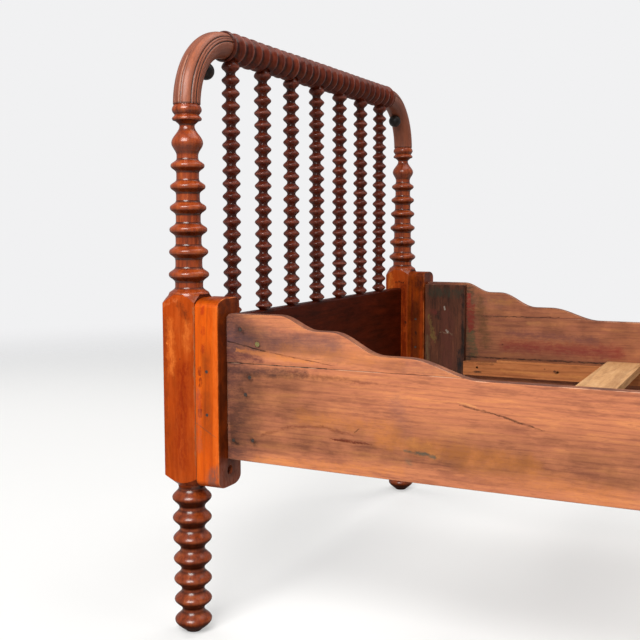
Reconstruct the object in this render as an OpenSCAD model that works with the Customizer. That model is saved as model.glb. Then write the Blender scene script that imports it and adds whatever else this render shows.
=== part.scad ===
// Spool-turned bed: two alike ends with bent corners, hook-on side rails and lift-out slats.
// X runs along the bed with the head end at -X, Y runs across it and Z is up.
// The origin is on the floor under the middle of the bed. Left (-Y) and right (+Y) are as
// seen from the foot. Sizes are in millimetres.

/* [Bed] */
// Distance between the axes of the two posts of an end
post_spacing = 1114; // [1000:1:1300]
// Length of a side rail
rail_length = 1850; // [1750:1:2000]
// Gap left between a rail's end and the block that it hooks on
rail_gap = 0.4; // [0.2:0.1:1]

/* [Posts] */
// Height of a post up to the joint with its bend
post_h = 985; // [930:1:1060]
// Side of the post's square block
post_w = 72; // [66:1:78]
// Height of the block's lower corners above the floor
square_z = 306; // [296:1:320]
// Height of the square between its lower and upper corners
square_h = 318; // [300:1:330]
// Depth planed off the square where the rail block seats
seat_flat = 3; // [1:0.5:5]
// Height of the turned shoulder between a square corner and the turning
shoulder_h = 16; // [12:1:20]
// Height from the leg's top neck to the shoulder under the square
leg_neck_drop = 11; // [9:1:14]
// Number of turned bulbs on the leg
leg_bulbs = 7; // [5:1:8]
// Radius of the bulb at the floor
foot_bulb_r = 35; // [30:0.5:37]
// Radius of the leg's top bulb
leg_bulb_r = 37; // [33:0.1:38]
// Radius of the neck above the foot bulb
foot_neck_r = 20.8; // [17:0.1:23]
// Radius of the leg's top neck
leg_neck_r = 24.6; // [20:0.1:27]
// Radius of the flat that stands on the floor
foot_flat_r = 14; // [12:0.5:22]
// Number of turned rings above the square
post_rings = 6; // [4:1:6]
// Height of the lowest ring over the square's turned shoulder
first_ring = 37; // [35:0.5:40]
// Spacing of the two lowest rings
ring_pitch = 41.5; // [38:0.1:43]
// Amount by which each spacing is less than the one below it
ring_pitch_step = 0.95; // [0:0.05:1.5]
// Crest radius of the lowest ring
ring_r = 37; // [33:0.1:38]
// Amount by which each crest is smaller than the one below it
ring_taper = 1.22; // [0.8:0.02:1.6]
// Radius of the cove under the lowest ring
cove_r = 25.7; // [22:0.1:27]
// Radius of the cove over the top ring
cove_top_r = 19.7; // [17:0.1:21]
// Radius of the vase ball under the cap
vase_r = 28.8; // [25:0.1:31]
// Radius of the thin neck over the vase ball
thin_neck_r = 13.8; // [11:0.1:16]
// Height from the thin neck to the cap
cap_neck = 11; // [8:0.5:13]
// Radius of the cap's two beads
cap_r = 27; // [24:0.1:29]
// Height of the cap
cap_h = 28.5; // [24:0.5:32]

/* [Bends, knobs and top rod] */
// Radius of the bend's centre line
bend_r = 127.5; // [110:0.5:140]
// Depth of the bend's centre below its joint with the post
bend_sink = 3.5; // [0:0.5:8]
// Radius of the bend's round section
bend_section_r = 25; // [22:0.5:27]
// Depth of the grooves turned along the bend
bend_groove = 1.8; // [0.6:0.1:2.5]
// Radius of the ball knob inside each bend
knob_r = 18.3; // [13:0.1:20]
// Depth of the knob's seat in the bend
knob_sink = 7; // [2:0.5:8]
// Radius of the knob's peg
knob_peg_r = 4; // [3:0.5:5]
// Length of the peg in the bend
knob_peg_l = 14; // [10:1:18]
// Angle of the knob above the level of the bend's centre
knob_angle = 49.6; // [35:0.1:60]
// Crest radius of the rod's rings
rod_r = 30.2; // [26:0.1:31]
// Radius in the valleys between the rod's rings
rod_neck_r = 22.3; // [19:0.1:24]
// Spacing of the rod's rings
rod_pitch = 33.3; // [31:0.1:34]
// Distance from the rod's end on the head's left side to its first ring
rod_first_ring = 5; // [3:0.5:8]
// Radius of the tenons that join post, bend and rod
tenon_r = 10; // [8:0.5:11]
// Length of those tenons
tenon_l = 26; // [18:1:32]

/* [Spindles] */
// Number of spindles in an end
spindles = 7; // [5:1:7]
// Distance between spindle axes
spindle_pitch = 129.6; // [110:0.1:135]
// Shift of the row of spindles towards the left post of the head end
spindle_shift = 11; // [0:1:20]
// Crest radius of a spindle's beads
bead_r = 18.3; // [15:0.1:19]
// Radius between the beads
bead_neck_r = 9.3; // [7.5:0.1:10.5]
// Nearest whole spacing of the beads
bead_pitch = 25; // [22:0.1:30]
// Height of the lowest bead over the panel
bead_low_gap = 9; // [3:0.5:12]
// Depth of the top bead under the rod
bead_top_gap = 6; // [3:0.5:12]
// Radius of the spindle's end tenons
spindle_tenon_r = 7; // [5:0.5:8]
// Length of the spindle's end tenons
spindle_tenon_l = 20; // [14:1:22]

/* [End panel] */
// Height of the panel's bottom edge above the floor
panel_z = 350; // [340:1:380]
// Height of the panel's top edge above the floor
panel_top = 590; // [570:1:600]
// Thickness of the panel
panel_t = 26; // [22:1:30]
// Set-back of the panel's inner face from the face of the post's square
panel_set = 25; // [21:1:27]
// Radius of the panel's rounded top edges
panel_round = 5; // [2:0.5:6]
// Thickness of the panel's end tongue
tongue_t = 14; // [10:1:16]
// Length of the panel's end tongue
tongue_l = 22; // [14:1:23]
// Depth of the tongue's shoulders at the top and bottom of the panel
tongue_shoulder = 32; // [20:1:50]

/* [Rail blocks] */
// Thickness of a rail block along the bed
block_t = 48.5; // [44:0.5:54]
// Width of a rail block across the bed
block_w = 80; // [76:1:84]
// Height of a rail block's lower face above the floor
block_z = 287; // [280:1:292]
// Height of a rail block
block_h = 349; // [345:1:360]
// Width of the rounding at the block's outer top corner
top_round_w = 33; // [20:1:34]
// Height of that rounding
top_round_h = 17; // [8:1:20]
// Width of the rounding at the block's two lower corners
low_round_w = 26; // [18:1:34]
// Height of those roundings
low_round_h = 16; // [8:1:20]
// Radius of the rounding at the block's inner top corner
inner_round = 14; // [4:1:16]
// Height of the lower bolt above the floor
bolt_z = 318; // [312:1:324]
// Distance between the two bolts
bolt_spacing = 250; // [240:1:258]
// Distance of the bolts from the post's axis, inwards
bolt_y = 3; // [0:0.5:4]
// Radius of a bolt's shank
bolt_r = 4.5; // [3.5:0.1:5]
// Radius of the sunk hole over a bolt's head
bolt_sink_r = 9; // [8.5:0.1:10]
// Depth of that sunk hole
bolt_sink = 14; // [10:1:16]
// Distance across the flats of a bolt's square head
bolt_head = 11; // [10:0.5:11.5]
// Height of a bolt's head
bolt_head_h = 6; // [4:0.5:7]
// Depth of a bolt in the post
bolt_bite = 42; // [30:1:48]

/* [Side rails] */
// Set-back of a rail's outer face from the post's outer face
rail_set = 31; // [27:0.5:33]
// Height of the rail's bottom edge above the floor
rail_z = 340; // [336:1:350]
// Thickness of the rail's plank and brackets
rail_t = 22; // [20:0.5:24]
// Height of the plank under the brackets
plank_h = 179; // [179:1:184]
// Depth of the gentle belly of the rail's lower edge in the middle
rail_belly = 7; // [0:0.5:9]
// Height of the plank in the middle of the rail
plank_mid_h = 175.5; // [168:0.5:177.5]
// Height of the whole rail at its ends
rail_end_h = 268; // [260:1:276]
// Height of the bracket's first ledge
ledge_1_h = 243; // [238:1:248]
// Height of the bracket's second ledge
ledge_2_h = 205.5; // [200:0.5:212]
// Start of the bracket's first fall from the rail's end
fall_1 = 105; // [95:1:120]
// Start of the bracket's second fall
fall_2 = 205; // [195:1:215]
// Start of the bracket's third fall
fall_3 = 345; // [335:1:355]
// Length of the first fall
fall_1_l = 73; // [65:1:80]
// Length of the second fall
fall_2_l = 100; // [90:1:110]
// Length of the third fall
fall_3_l = 130; // [115:1:140]
// Radius of the rail's upper end corners
rail_round = 9; // [5:1:14]
// Thickness of the battens inside the rail ends
batten_t = 18; // [16:0.5:20]
// Width of those battens along the rail
batten_w = 115; // [105:1:125]
// Height of a batten's lower end above the rail's bottom edge
batten_rise = 5; // [3:1:12]
// Drop from the rail's top to a batten's upper end
batten_drop = 6; // [4:1:16]
// Thickness of the slat ledger
ledger_t = 26; // [22:1:30]
// Height of the slat ledger
ledger_h = 45; // [38:1:52]
// Height of the ledger's top face above the rail's bottom edge
ledger_rise = 60; // [52:1:66]

/* [Hooks] */
// Height of the lower hook pin above the floor
hook_z = 425; // [415:1:432]
// Distance between the two hook pins
hook_spacing = 79; // [70:1:84]
// Radius of a hook pin
hook_pin_r = 3; // [2.5:0.1:3.5]
// Depth of the hook pins behind the block's face
hook_pin_depth = 24; // [20:0.5:28]
// Depth of a hook's tip under its pin's centre
hook_drop = 7; // [6:0.5:7.5]
// Height of a hook's back over its pin's centre
hook_rise = 14; // [10:0.5:15]
// Length of a hook's tip along the bed
hook_tip = 7; // [5:0.5:9]
// Room around the hooks in their slot
slot_room = 1.6; // [1.2:0.1:2]
// Thickness of a hook iron
hook_t = 5; // [4:0.5:6]
// Reach of the hook iron's plate below and above its hooks
plate_reach = 13; // [12:1:16]
// Width of the hook iron's plate
plate_w = 18; // [15:0.5:20]
// Thickness of the hook iron's plate
plate_t = 3; // [2:0.1:4]
// Length of the screws that hold the plate
plate_screw_l = 30; // [20:1:36]
// Height by which a rail is lifted to free its hooks
unhook = 12; // [11:0.5:13]

/* [Slats] */
// Number of notches in a ledger
notches = 5; // [4:1:6]
// Width of a slat
slat_w = 90; // [80:1:100]
// Thickness of a slat
slat_t = 19; // [15:0.5:22]
// Depth of the notches in the ledger
notch_depth = 7.5; // [4:0.5:10]
// Room left on each side of a slat in its notch
slat_play = 2; // [1:0.5:4]

/* [Nails and screws] */
// Radius of a nail's shank
nail_r = 1.6; // [1.2:0.1:2]
// Radius of a nail's head
nail_head_r = 3.2; // [2.6:0.1:3.8]
// Radius of a screw's shank
screw_r = 2.2; // [1.8:0.1:2.6]
// Radius of a screw's head
screw_head_r = 4.4; // [3.8:0.1:5]
// Thickness of a nail's or screw's head
head_t = 1.2; // [0.8:0.1:2]
// Distance between the nails along a ledger
ledger_nail_pitch = 220; // [180:1:260]
// Length of a ledger nail
ledger_nail_l = 40; // [32:1:44]

/* [Hidden] */
$fn = 48;
SIDES = ["left", "right"];
ENDS = ["head", "foot"];
// Points on each half of a turned swelling
TURN_STEPS = 8;
BEAD_STEPS = 6;
ROD_STEPS = 6;
ARC_STEPS = 8;
// Shape of the swellings: 1 is a plain wave, more is a sharper crest
BULB_SHARP = 1.12;
BEAD_SHARP = 1.15;
ROD_SHARP = 1.35;
// A ring is a flange instead: half its height is left at this share of the way to its hollow
RING_HALF = 0.36;
RING_POWER = 2.8;
// Clearance of a peg, shank or tongue in its hole, and of a part beside its seat
FIT = 0.05;
SEAT = 0.15;
RUN = 0.3;

half_w = post_w / 2;
corner_r = half_w * sqrt(2) + 0.5;
post_x = rail_length / 2 + rail_gap + block_t + half_w - seat_flat;
square_top = square_z + square_h;
leg_neck_z = square_z - shoulder_h - leg_neck_drop;
// The foot is a little over half a bulb, so the floor lies this share of a pitch under its crest
foot_share = 0.58;
bulb_pitch = leg_neck_z / (leg_bulbs - 0.5 + foot_share);
shoulder_top = square_top + shoulder_h;
cap_z = post_h - cap_h;
thin_neck_z = cap_z - cap_neck;
seat_x = half_w - seat_flat;
block_face = seat_x + block_t;
bend_z = post_h - bend_sink;
rod_z = bend_z + bend_r;
rod_length = post_spacing - 2 * bend_r;
rod_half = rod_pitch / 2;
rod_rings = floor((rod_length - rod_first_ring - rod_half) / rod_pitch) + 1;
bead_top = rod_z - rod_r - bead_top_gap;
bead_low = panel_top + bead_low_gap;
beads = round((bead_top - bead_low) / bead_pitch) + 1;
bead_gap = (bead_top - bead_low) / (beads - 1);
panel_front = half_w - panel_set;
tongue_x = panel_front - (panel_t + tongue_t) / 2;
tongue_h = panel_top - panel_z - 2 * tongue_shoulder;
rail_y = -half_w + rail_set;
plank_in = rail_y + rail_t;
batten_in = plank_in + batten_t;
ledger_in = plank_in + ledger_t;
hook_y = (rail_y + batten_in) / 2;
ledger_top = rail_z + ledger_rise;
notch_w = slat_w + 2 * slat_play;
notch_step = (rail_length - 2 * batten_w - notch_w) / (notches - 1);
slat_l = post_spacing - 2 * plank_in - 4;
slat_z = ledger_top - notch_depth;
// The third fall crosses the plank's top edge at this distance from the rail's end
seam_l = fall_3 + fall_3_l * acos(2 * (plank_h - plank_mid_h) / (ledge_2_h - plank_mid_h) - 1) / 180;
plate_z = hook_z - hook_drop - plate_reach;
plate_h = hook_spacing + hook_drop + hook_rise + 2 * plate_reach;
// Nails through plank and batten: distance from the rail's end, height over its bottom edge
NAILS = [[47, plank_h - 25], [38, plank_h - 57], [12, 36], [52, 39]];
// The nail and the brass screw through bracket and batten
BRACKET_NAILS = [[28, rail_end_h - 28]];
BRACKET_SCREW = [63, rail_end_h - 53];

SPINDLE_NAMES = [for (e = ENDS) for (i = [1 : spindles]) str(e, "_spindle_", i)];
END_PARTS = ["post", "rail_block", "bend"];

// ---- Outlines -------------------------------------------------------------------------

// Height left at the share u of the way from a crest to its hollow, as a share of the full height
function wave(u, k) = pow((1 + cos(180 * u)) / 2, k);
function flange(u) = pow(2, -pow(u / RING_HALF, RING_POWER));

// Points of a turned curve from a = [r, z] up to but not including b = [r, z]. The wider end
// is the crest of a wave, or of a flange, and the narrower end its hollow.
function turn(a, b, n = TURN_STEPS, k = 1, ring = false) = [
    for (i = [0 : n - 1])
        let (
            t = i / n,
            u = a[0] > b[0] ? t : 1 - t,
            s = ring ? flange(u) : wave(u, k),
            low = min(a[0], b[0]),
            high = max(a[0], b[0])
        )
        [low + (high - low) * s, a[1] + (b[1] - a[1]) * t]
];

// A value that goes evenly from a to b as i goes from 0 to n
function blend(a, b, i, n) = a + (b - a) * i / n;

// Quarter ellipse about c, from angle a0 to a0 + 90
function corner(c, ry, rz, a0) = [
    for (i = [0 : ARC_STEPS])
        let (a = a0 + 90 * i / ARC_STEPS)
        [c[0] + ry * cos(a), c[1] + rz * sin(a)]
];

function bulb_z(i) = bulb_pitch * (i + foot_share);
function bulb_r(i) = blend(foot_bulb_r, leg_bulb_r, i, leg_bulbs - 1);
function neck_r(i) = blend(foot_neck_r, leg_neck_r, i, leg_bulbs - 1);
function neck_z(i) = i == leg_bulbs - 1 ? leg_neck_z : (bulb_z(i) + bulb_z(i + 1)) / 2;
function ring_z(i) =
    shoulder_top + first_ring + ring_pitch * i - ring_pitch_step * i * (i - 1) / 2;
function ring_crest(i) = ring_r - ring_taper * i;
function cove(i) = blend(cove_r, cove_top_r, i, post_rings);
function cove_z(i) = ring_z(i) - (ring_pitch - ring_pitch_step * (i - 1)) / 2;

LEG = concat(
    turn([foot_flat_r, 0], [bulb_r(0), bulb_z(0)], k = 0.6),
    [for (i = [0 : leg_bulbs - 1]) each concat(
        turn([bulb_r(i), bulb_z(i)], [neck_r(i), neck_z(i)], k = BULB_SHARP),
        i == leg_bulbs - 1 ? []
            : turn([neck_r(i), neck_z(i)], [bulb_r(i + 1), bulb_z(i + 1)], k = BULB_SHARP)
    )]
);
SQUARE = [
    [leg_neck_r, leg_neck_z],
    [leg_neck_r + 1.2, leg_neck_z + 6],
    [corner_r, square_z],
    [corner_r, square_top],
    [half_w + 2.5, shoulder_top - 1],
    [half_w + 1, shoulder_top + 2.5]
];
RINGS = concat(
    turn([half_w + 1, shoulder_top + 2.5], [cove(0), cove_z(0)], k = 1.6),
    [for (i = [0 : post_rings - 1]) each concat(
        turn([cove(i), cove_z(i)], [ring_crest(i), ring_z(i)], ring = true),
        turn([ring_crest(i), ring_z(i)], [cove(i + 1), cove_z(i + 1)], ring = true)
    )]
);
vase_low = cove_z(post_rings);
vase_z = blend(vase_low, thin_neck_z, 0.43, 1);
VASE = concat(
    turn([cove_top_r, vase_low], [vase_r, vase_z]),
    turn([vase_r, vase_z], [thin_neck_r, thin_neck_z], k = 0.9)
);
// The cap is two beads with a groove between them, at these shares of its height
function cap_at(share) = cap_z + cap_h * share;
cap_groove_r = cap_r - 4.8;
cap_top_r = cap_r - 3.6;
CAP = concat(
    turn([thin_neck_r, thin_neck_z], [cap_r - 5.5, cap_z], k = 1.5),
    [[cap_r - 1, cap_z]],
    turn([cap_r, cap_at(0.09)], [cap_groove_r, cap_at(0.33)], 5, 0.7),
    turn([cap_groove_r, cap_at(0.33)], [cap_r, cap_at(0.65)], 5, 0.6),
    turn([cap_r, cap_at(0.65)], [cap_top_r, cap_at(0.98)], 5, 0.6),
    [[cap_top_r, post_h]]
);

// The rail's top edge at distance s from its nearer end, as a height over its bottom edge
function fall(s, s0, l, h0, h1) =
    s <= s0 ? h0 : s >= s0 + l ? h1 : h1 + (h0 - h1) * (1 + cos(180 * (s - s0) / l)) / 2;
function rail_top(s) =
    s < fall_2 ? fall(s, fall_1, fall_1_l, rail_end_h, ledge_1_h)
    : s < fall_3 ? fall(s, fall_2, fall_2_l, ledge_1_h, ledge_2_h)
    : fall(s, fall_3, fall_3_l, ledge_2_h, plank_mid_h);
function samples(a, b, n) = [for (i = [0 : n]) a + (b - a) * i / n];
FALL_POINTS = concat(
    samples(fall_1, fall_1 + fall_1_l, 12),
    samples(fall_2, fall_2 + fall_2_l, 14),
    samples(fall_3, fall_3 + fall_3_l, 16)
);

// ---- The two ends ---------------------------------------------------------------------

// Puts one end's part, drawn about the head end's middle, at the head or the foot
module at_end(e) {
    rotate([0, 0, e == "head" ? 0 : 180]) translate([-post_x, 0, 0]) children();
}

// Puts a part drawn about the left post's axis, with +Y inwards, on the left or the right
module on_side(e, s) {
    // The foot end is the same piece turned round, so its own left is the bed's right
    flip = (e == "head") == (s == "left") ? 0 : 1;
    mirror([0, flip, 0]) translate([0, -post_spacing / 2, 0]) children();
}

module turned(outline) {
    rotate_extrude() polygon(concat([[0, outline[0][1]]], outline, [[0, outline[len(outline) - 1][1]]]));
}

module bolt_places() {
    for (z = [bolt_z, bolt_z + bolt_spacing]) translate([block_face, bolt_y, z]) children();
}

module post() {
    color("peru") difference() {
        union() {
            intersection() {
                turned(concat(LEG, SQUARE, RINGS, VASE, CAP));
                // The square stock, with its turned stretches below and above left whole
                union() {
                    translate([-half_w, -half_w, leg_neck_z])
                        cube([seat_x + half_w, post_w, shoulder_top + 2 - leg_neck_z]);
                    cylinder(r = post_w, h = leg_neck_z);
                    translate([0, 0, shoulder_top + 2]) cylinder(r = post_w, h = post_h);
                }
            }
            translate([0, 0, post_h - 1]) cylinder(r = tenon_r, h = tenon_l + 1);
        }
        // Mortise for the panel's tongue
        translate([tongue_x - FIT, half_w - tongue_l - SEAT, panel_z + tongue_shoulder - SEAT])
            cube([tongue_t + 2 * FIT, tongue_l + post_w, tongue_h + 2 * SEAT]);
        bolt_places() rotate([0, -90, 0]) cylinder(r = bolt_r + FIT, h = block_t + bolt_bite + 1);
    }
}

// The round section with the grooves that run along the bend: each groove has its angle from
// the outer edge towards the bed, and its share of the full depth
module bend_section() {
    grooves = [[-1, 0.35], [10, 0.35], [52, 1], [65, 0.5], [78, 1], [-52, 1], [-65, 0.5], [-78, 1]];
    polygon([
        for (a = [0 : 3 : 357])
            let (
                from_edge = a > 180 ? a - 360 : a,
                cuts = [for (g = grooves) g[1] * exp(-pow((from_edge + g[0]) / 3.2, 2))],
                r = bend_section_r - bend_groove * max(cuts)
            )
            [bend_r + r * cos(a), r * sin(a)]
    ]);
}

module knob_place() {
    reach = bend_r - bend_section_r - knob_r + knob_sink;
    translate([0, bend_r - reach * cos(knob_angle), bend_z + reach * sin(knob_angle)])
        rotate([90 - knob_angle, 0, 0]) children();
}

module bend() {
    color("sienna") difference() {
        translate([0, bend_r, bend_z])
            rotate([0, 0, -90]) rotate([90, 0, 0]) rotate_extrude(angle = 90) bend_section();
        // The joint with the post lies above the level of the bend's centre
        translate([-post_w / 2, -post_w / 2, bend_z - 1]) cube([post_w, post_w, bend_sink + 1]);
        translate([0, 0, post_h - 1]) cylinder(r = tenon_r + FIT, h = tenon_l + 2);
        translate([0, bend_r + 1, rod_z]) rotate([90, 0, 0]) cylinder(r = tenon_r + FIT, h = tenon_l + 2);
        knob_place() {
            sphere(r = knob_r);
            cylinder(r = knob_peg_r + FIT, h = knob_r + knob_peg_l + 1);
        }
    }
}

module knobs() {
    color("black") for (s = SIDES) on_side("head", s) knob_place() {
        union() {
            sphere(r = knob_r - FIT);
            cylinder(r = knob_peg_r, h = knob_r + knob_peg_l);
        }
    }
}

// The block that lengthens the bed: bolted to the post, with the rail hooked on its other face
module rail_block() {
    inner = block_w - half_w;
    top = block_z + block_h;
    slot_x = block_face - hook_pin_depth - hook_pin_r - RUN - hook_tip - slot_room;
    color("darkorange") difference() {
        translate([seat_x, 0, 0]) rotate([90, 0, 90]) linear_extrude(block_t) polygon(concat(
            corner([low_round_w - half_w, block_z + low_round_h], low_round_w, low_round_h, 180),
            corner([inner - low_round_w, block_z + low_round_h], low_round_w, low_round_h, 270),
            corner([inner - inner_round, top - inner_round], inner_round, inner_round, 0),
            corner([top_round_w - half_w, top - top_round_h], top_round_w, top_round_h, 90)
        ));
        bolt_places() rotate([0, -90, 0]) {
            translate([0, 0, -1]) cylinder(r = bolt_sink_r, h = bolt_sink + 1);
            cylinder(r = bolt_r + FIT, h = block_t + 1);
        }
        // Slot for the hooks, tall enough to lift them off their pins
        translate([slot_x, hook_y - hook_t / 2 - slot_room / 2, hook_z - hook_drop - slot_room]) cube([
            block_face + 1 - slot_x,
            hook_t + slot_room,
            hook_spacing + hook_drop + hook_rise + unhook + 2 * slot_room
        ]);
        hook_pin_places() cylinder(r = hook_pin_r + FIT, h = block_w * 2, center = true);
    }
}

module block_bolts() {
    color("dimgray") for (s = SIDES) on_side("head", s) bolt_places() rotate([0, -90, 0]) {
        union() {
            translate([-bolt_head / 2, -bolt_head / 2, bolt_sink - bolt_head_h])
                cube([bolt_head, bolt_head, bolt_head_h - FIT]);
            translate([0, 0, bolt_sink - 1]) cylinder(r = bolt_r, h = block_t - bolt_sink + bolt_bite + 1);
        }
    }
}

module hook_pin_places() {
    for (z = [hook_z, hook_z + hook_spacing])
        translate([block_face - hook_pin_depth, hook_y, z]) rotate([90, 0, 0]) children();
}

module hook_pins() {
    color("dimgray") for (s = SIDES) on_side("head", s) hook_pin_places()
        translate([0, 0, hook_y + half_w - block_w + SEAT])
            cylinder(r = hook_pin_r, h = block_w - 2 * SEAT);
}

// A row of equal swellings along z from low, each with its crest in the middle of its pitch
function row(count, low, pitch, neck, crest, steps, k) = [
    for (i = [0 : count - 1]) each concat(
        turn([neck, low + i * pitch], [crest, low + (i + 0.5) * pitch], steps, k),
        turn([crest, low + (i + 0.5) * pitch], [neck, low + (i + 1) * pitch], steps, k)
    )
];

// Radius of the rod at a distance from a ring's crest
function rod_radius(d) = rod_neck_r + (rod_r - rod_neck_r) * wave(d / rod_half, ROD_SHARP);

module top_rod() {
    rod_low = rod_first_ring + rod_half;
    color("saddlebrown") difference() {
        translate([0, -rod_length / 2, rod_z]) rotate([-90, 0, 0]) union() {
            turned(concat(
                [for (z = [0, rod_first_ring / 2]) [rod_radius(rod_first_ring - z), z]],
                turn([rod_r, rod_first_ring], [rod_neck_r, rod_low], ROD_STEPS, ROD_SHARP),
                row(rod_rings - 1, rod_low, rod_pitch, rod_neck_r, rod_r, ROD_STEPS, ROD_SHARP),
                [[rod_neck_r, rod_length]]
            ));
            translate([0, 0, -tenon_l]) cylinder(r = tenon_r, h = rod_length + 2 * tenon_l);
        }
        spindle_places() translate([0, 0, rod_z - rod_r - 1])
            cylinder(r = spindle_tenon_r + FIT, h = spindle_tenon_l + 2);
    }
}

module spindle_places() {
    for (i = [1 : spindles]) spindle_place(i) children();
}

module spindle_place(i) {
    translate([0, (i - (spindles + 1) / 2) * spindle_pitch - spindle_shift, 0]) children();
}

module spindle() {
    bottom = panel_top + SEAT;
    top = rod_z - rod_r - SEAT;
    shoulder_r = bead_neck_r + 0.7;
    first_neck = bead_low + bead_gap / 2;
    color("maroon") union() {
        turned(concat(
            turn([shoulder_r, bottom], [bead_r, bead_low], BEAD_STEPS, 0.9),
            turn([bead_r, bead_low], [bead_neck_r, first_neck], BEAD_STEPS, BEAD_SHARP),
            row(beads - 2, first_neck, bead_gap, bead_neck_r, bead_r, BEAD_STEPS, BEAD_SHARP),
            turn([bead_neck_r, bead_top - bead_gap / 2], [bead_r, bead_top], BEAD_STEPS, BEAD_SHARP),
            turn([bead_r, bead_top], [shoulder_r, top], BEAD_STEPS, 0.8),
            [[shoulder_r, top]]
        ));
        translate([0, 0, bottom - spindle_tenon_l]) cylinder(r = spindle_tenon_r, h = spindle_tenon_l + 1);
        translate([0, 0, top - 1]) cylinder(r = spindle_tenon_r, h = spindle_tenon_l);
    }
}

module panel() {
    x0 = panel_front - panel_t;
    r = panel_round;
    w = post_spacing - post_w - 2 * SEAT;
    w_tongue = post_spacing - post_w + 2 * (tongue_l - SEAT);
    color("#3a1d12") difference() {
        union() {
            translate([0, w / 2, 0]) rotate([90, 0, 0]) linear_extrude(w) polygon(concat(
                [[x0, panel_z], [panel_front, panel_z]],
                corner([panel_front - r, panel_top - r], r, r, 0),
                corner([x0 + r, panel_top - r], r, r, 90)
            ));
            translate([tongue_x, -w_tongue / 2, panel_z + tongue_shoulder])
                cube([tongue_t, w_tongue, tongue_h]);
        }
        spindle_places() translate([0, 0, panel_top - spindle_tenon_l - 1])
            cylinder(r = spindle_tenon_r + FIT, h = spindle_tenon_l + 3);
    }
}

// ---- The side rails -------------------------------------------------------------------

// Puts a part drawn with the left rail's head end at X 0 and the post's axis at Y 0
module at_rail(s, e = "head") {
    mirror([0, s == "left" ? 0 : 1, 0]) mirror([e == "head" ? 0 : 1, 0, 0])
        translate([-rail_length / 2, -post_spacing / 2, 0]) children();
}

// Hole for a nail or screw through the rail from its outer face
module rail_hole(p, r, head_r, depth) {
    translate([p[0], rail_y - 1, rail_z + p[1]]) rotate([-90, 0, 0]) {
        cylinder(r = r + FIT, h = depth + 1);
        cylinder(r = head_r + FIT, h = head_t + FIT + 1);
    }
}

module rail_fixing(p, r, head_r, depth) {
    translate([p[0], rail_y, rail_z + p[1]]) rotate([-90, 0, 0]) union() {
        cylinder(r = r, h = depth - SEAT);
        cylinder(r = head_r, h = head_t);
    }
}

module batten_nail_holes() {
    for (p = NAILS) rail_hole(p, nail_r, nail_head_r, rail_t + batten_t + 1);
}

module bracket_nail_holes() {
    for (p = BRACKET_NAILS) rail_hole(p, nail_r, nail_head_r, rail_t + batten_t + 1);
    rail_hole(BRACKET_SCREW, screw_r, screw_head_r, rail_t + batten_t - 3);
}

// Room for the hook iron's plate in the end of the rail, and for its two screws
module plate_recess() {
    translate([-1, hook_y - plate_w / 2 - SEAT, plate_z - SEAT])
        cube([1 + plate_t + SEAT, plate_w + 2 * SEAT, plate_h + 2 * SEAT]);
    plate_screw_places() cylinder(r = screw_r + FIT, h = plate_screw_l + 1);
}

module plate_screw_places() {
    edge = plate_reach / 2;
    for (z = [plate_z + edge, plate_z + plate_h - edge])
        translate([0, hook_y - plate_w / 4, z]) rotate([0, 90, 0]) children();
}

module rail_plank(s) {
    half = concat(
        [[0, plank_h], [seam_l, plank_h]],
        [for (x = FALL_POINTS) if (x > seam_l + 1) [x, rail_top(x)]]
    );
    other = [for (i = [len(half) - 1 : -1 : 0]) [rail_length - half[i][0], half[i][1]]];
    bottom = [for (x = samples(rail_length, 0, 16)) [x, -rail_belly * (1 - pow(1 - 2 * x / rail_length, 2))]];
    color("#b5704a") difference() {
        at_rail(s) translate([0, plank_in, rail_z]) rotate([90, 0, 0]) linear_extrude(rail_t)
            polygon(concat(bottom, half, other));
        for (e = ENDS) at_rail(s, e) {
            batten_nail_holes();
            plate_recess();
        }
        at_rail(s) ledger_nail_places() cylinder(r = nail_r + FIT, h = ledger_nail_l + 1);
    }
}

module rail_bracket(s, e) {
    falls = [for (x = FALL_POINTS) if (x < seam_l - 3) [x, rail_top(x)]];
    r = rail_round;
    color("#a8683f") difference() {
        at_rail(s, e) translate([0, plank_in, rail_z]) rotate([90, 0, 0]) linear_extrude(rail_t)
            polygon(concat(
                [[seam_l, plank_h + FIT], [0, plank_h + FIT]],
                [for (a = [180 : -15 : 90]) [r + r * cos(a), rail_end_h - r + r * sin(a)]],
                falls
            ));
        at_rail(s, e) bracket_nail_holes();
        at_rail(s, e) plate_recess();
    }
}

module rail_batten(s, e) {
    color("#33180f") difference() {
        at_rail(s, e) translate([0, plank_in + FIT, rail_z + batten_rise])
            cube([batten_w - FIT, batten_t - FIT, rail_end_h - batten_drop - batten_rise]);
        at_rail(s, e) {
            batten_nail_holes();
            bracket_nail_holes();
            plate_recess();
        }
    }
}

module rail_ledger(s) {
    color("#c98a4b") difference() {
        at_rail(s) translate([batten_w, plank_in + FIT, ledger_top - ledger_h])
            cube([rail_length - 2 * batten_w, ledger_t - FIT, ledger_h]);
        // The first and last notches run out of the ledger's ends
        at_rail(s) for (i = [0 : notches - 1]) {
            out_low = i == 0 ? 1 : 0;
            out_high = i == notches - 1 ? 1 : 0;
            translate([batten_w + i * notch_step - out_low, 0, slat_z])
                cube([notch_w + out_low + out_high, ledger_in + 1, notch_depth + 1]);
        }
        at_rail(s) ledger_nail_places() {
            translate([0, 0, -1]) cylinder(r = nail_head_r + FIT, h = head_t + FIT + 1);
            cylinder(r = nail_r + FIT, h = ledger_nail_l + 1);
        }
    }
}

module ledger_nail_places() {
    end_room = 20;
    n = floor((rail_length - 2 * (batten_w + end_room)) / ledger_nail_pitch);
    for (i = [0 : n])
        translate([rail_length / 2 + (i - n / 2) * ledger_nail_pitch, ledger_in, ledger_top - ledger_h / 2])
            rotate([90, 0, 0]) children();
}

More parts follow.
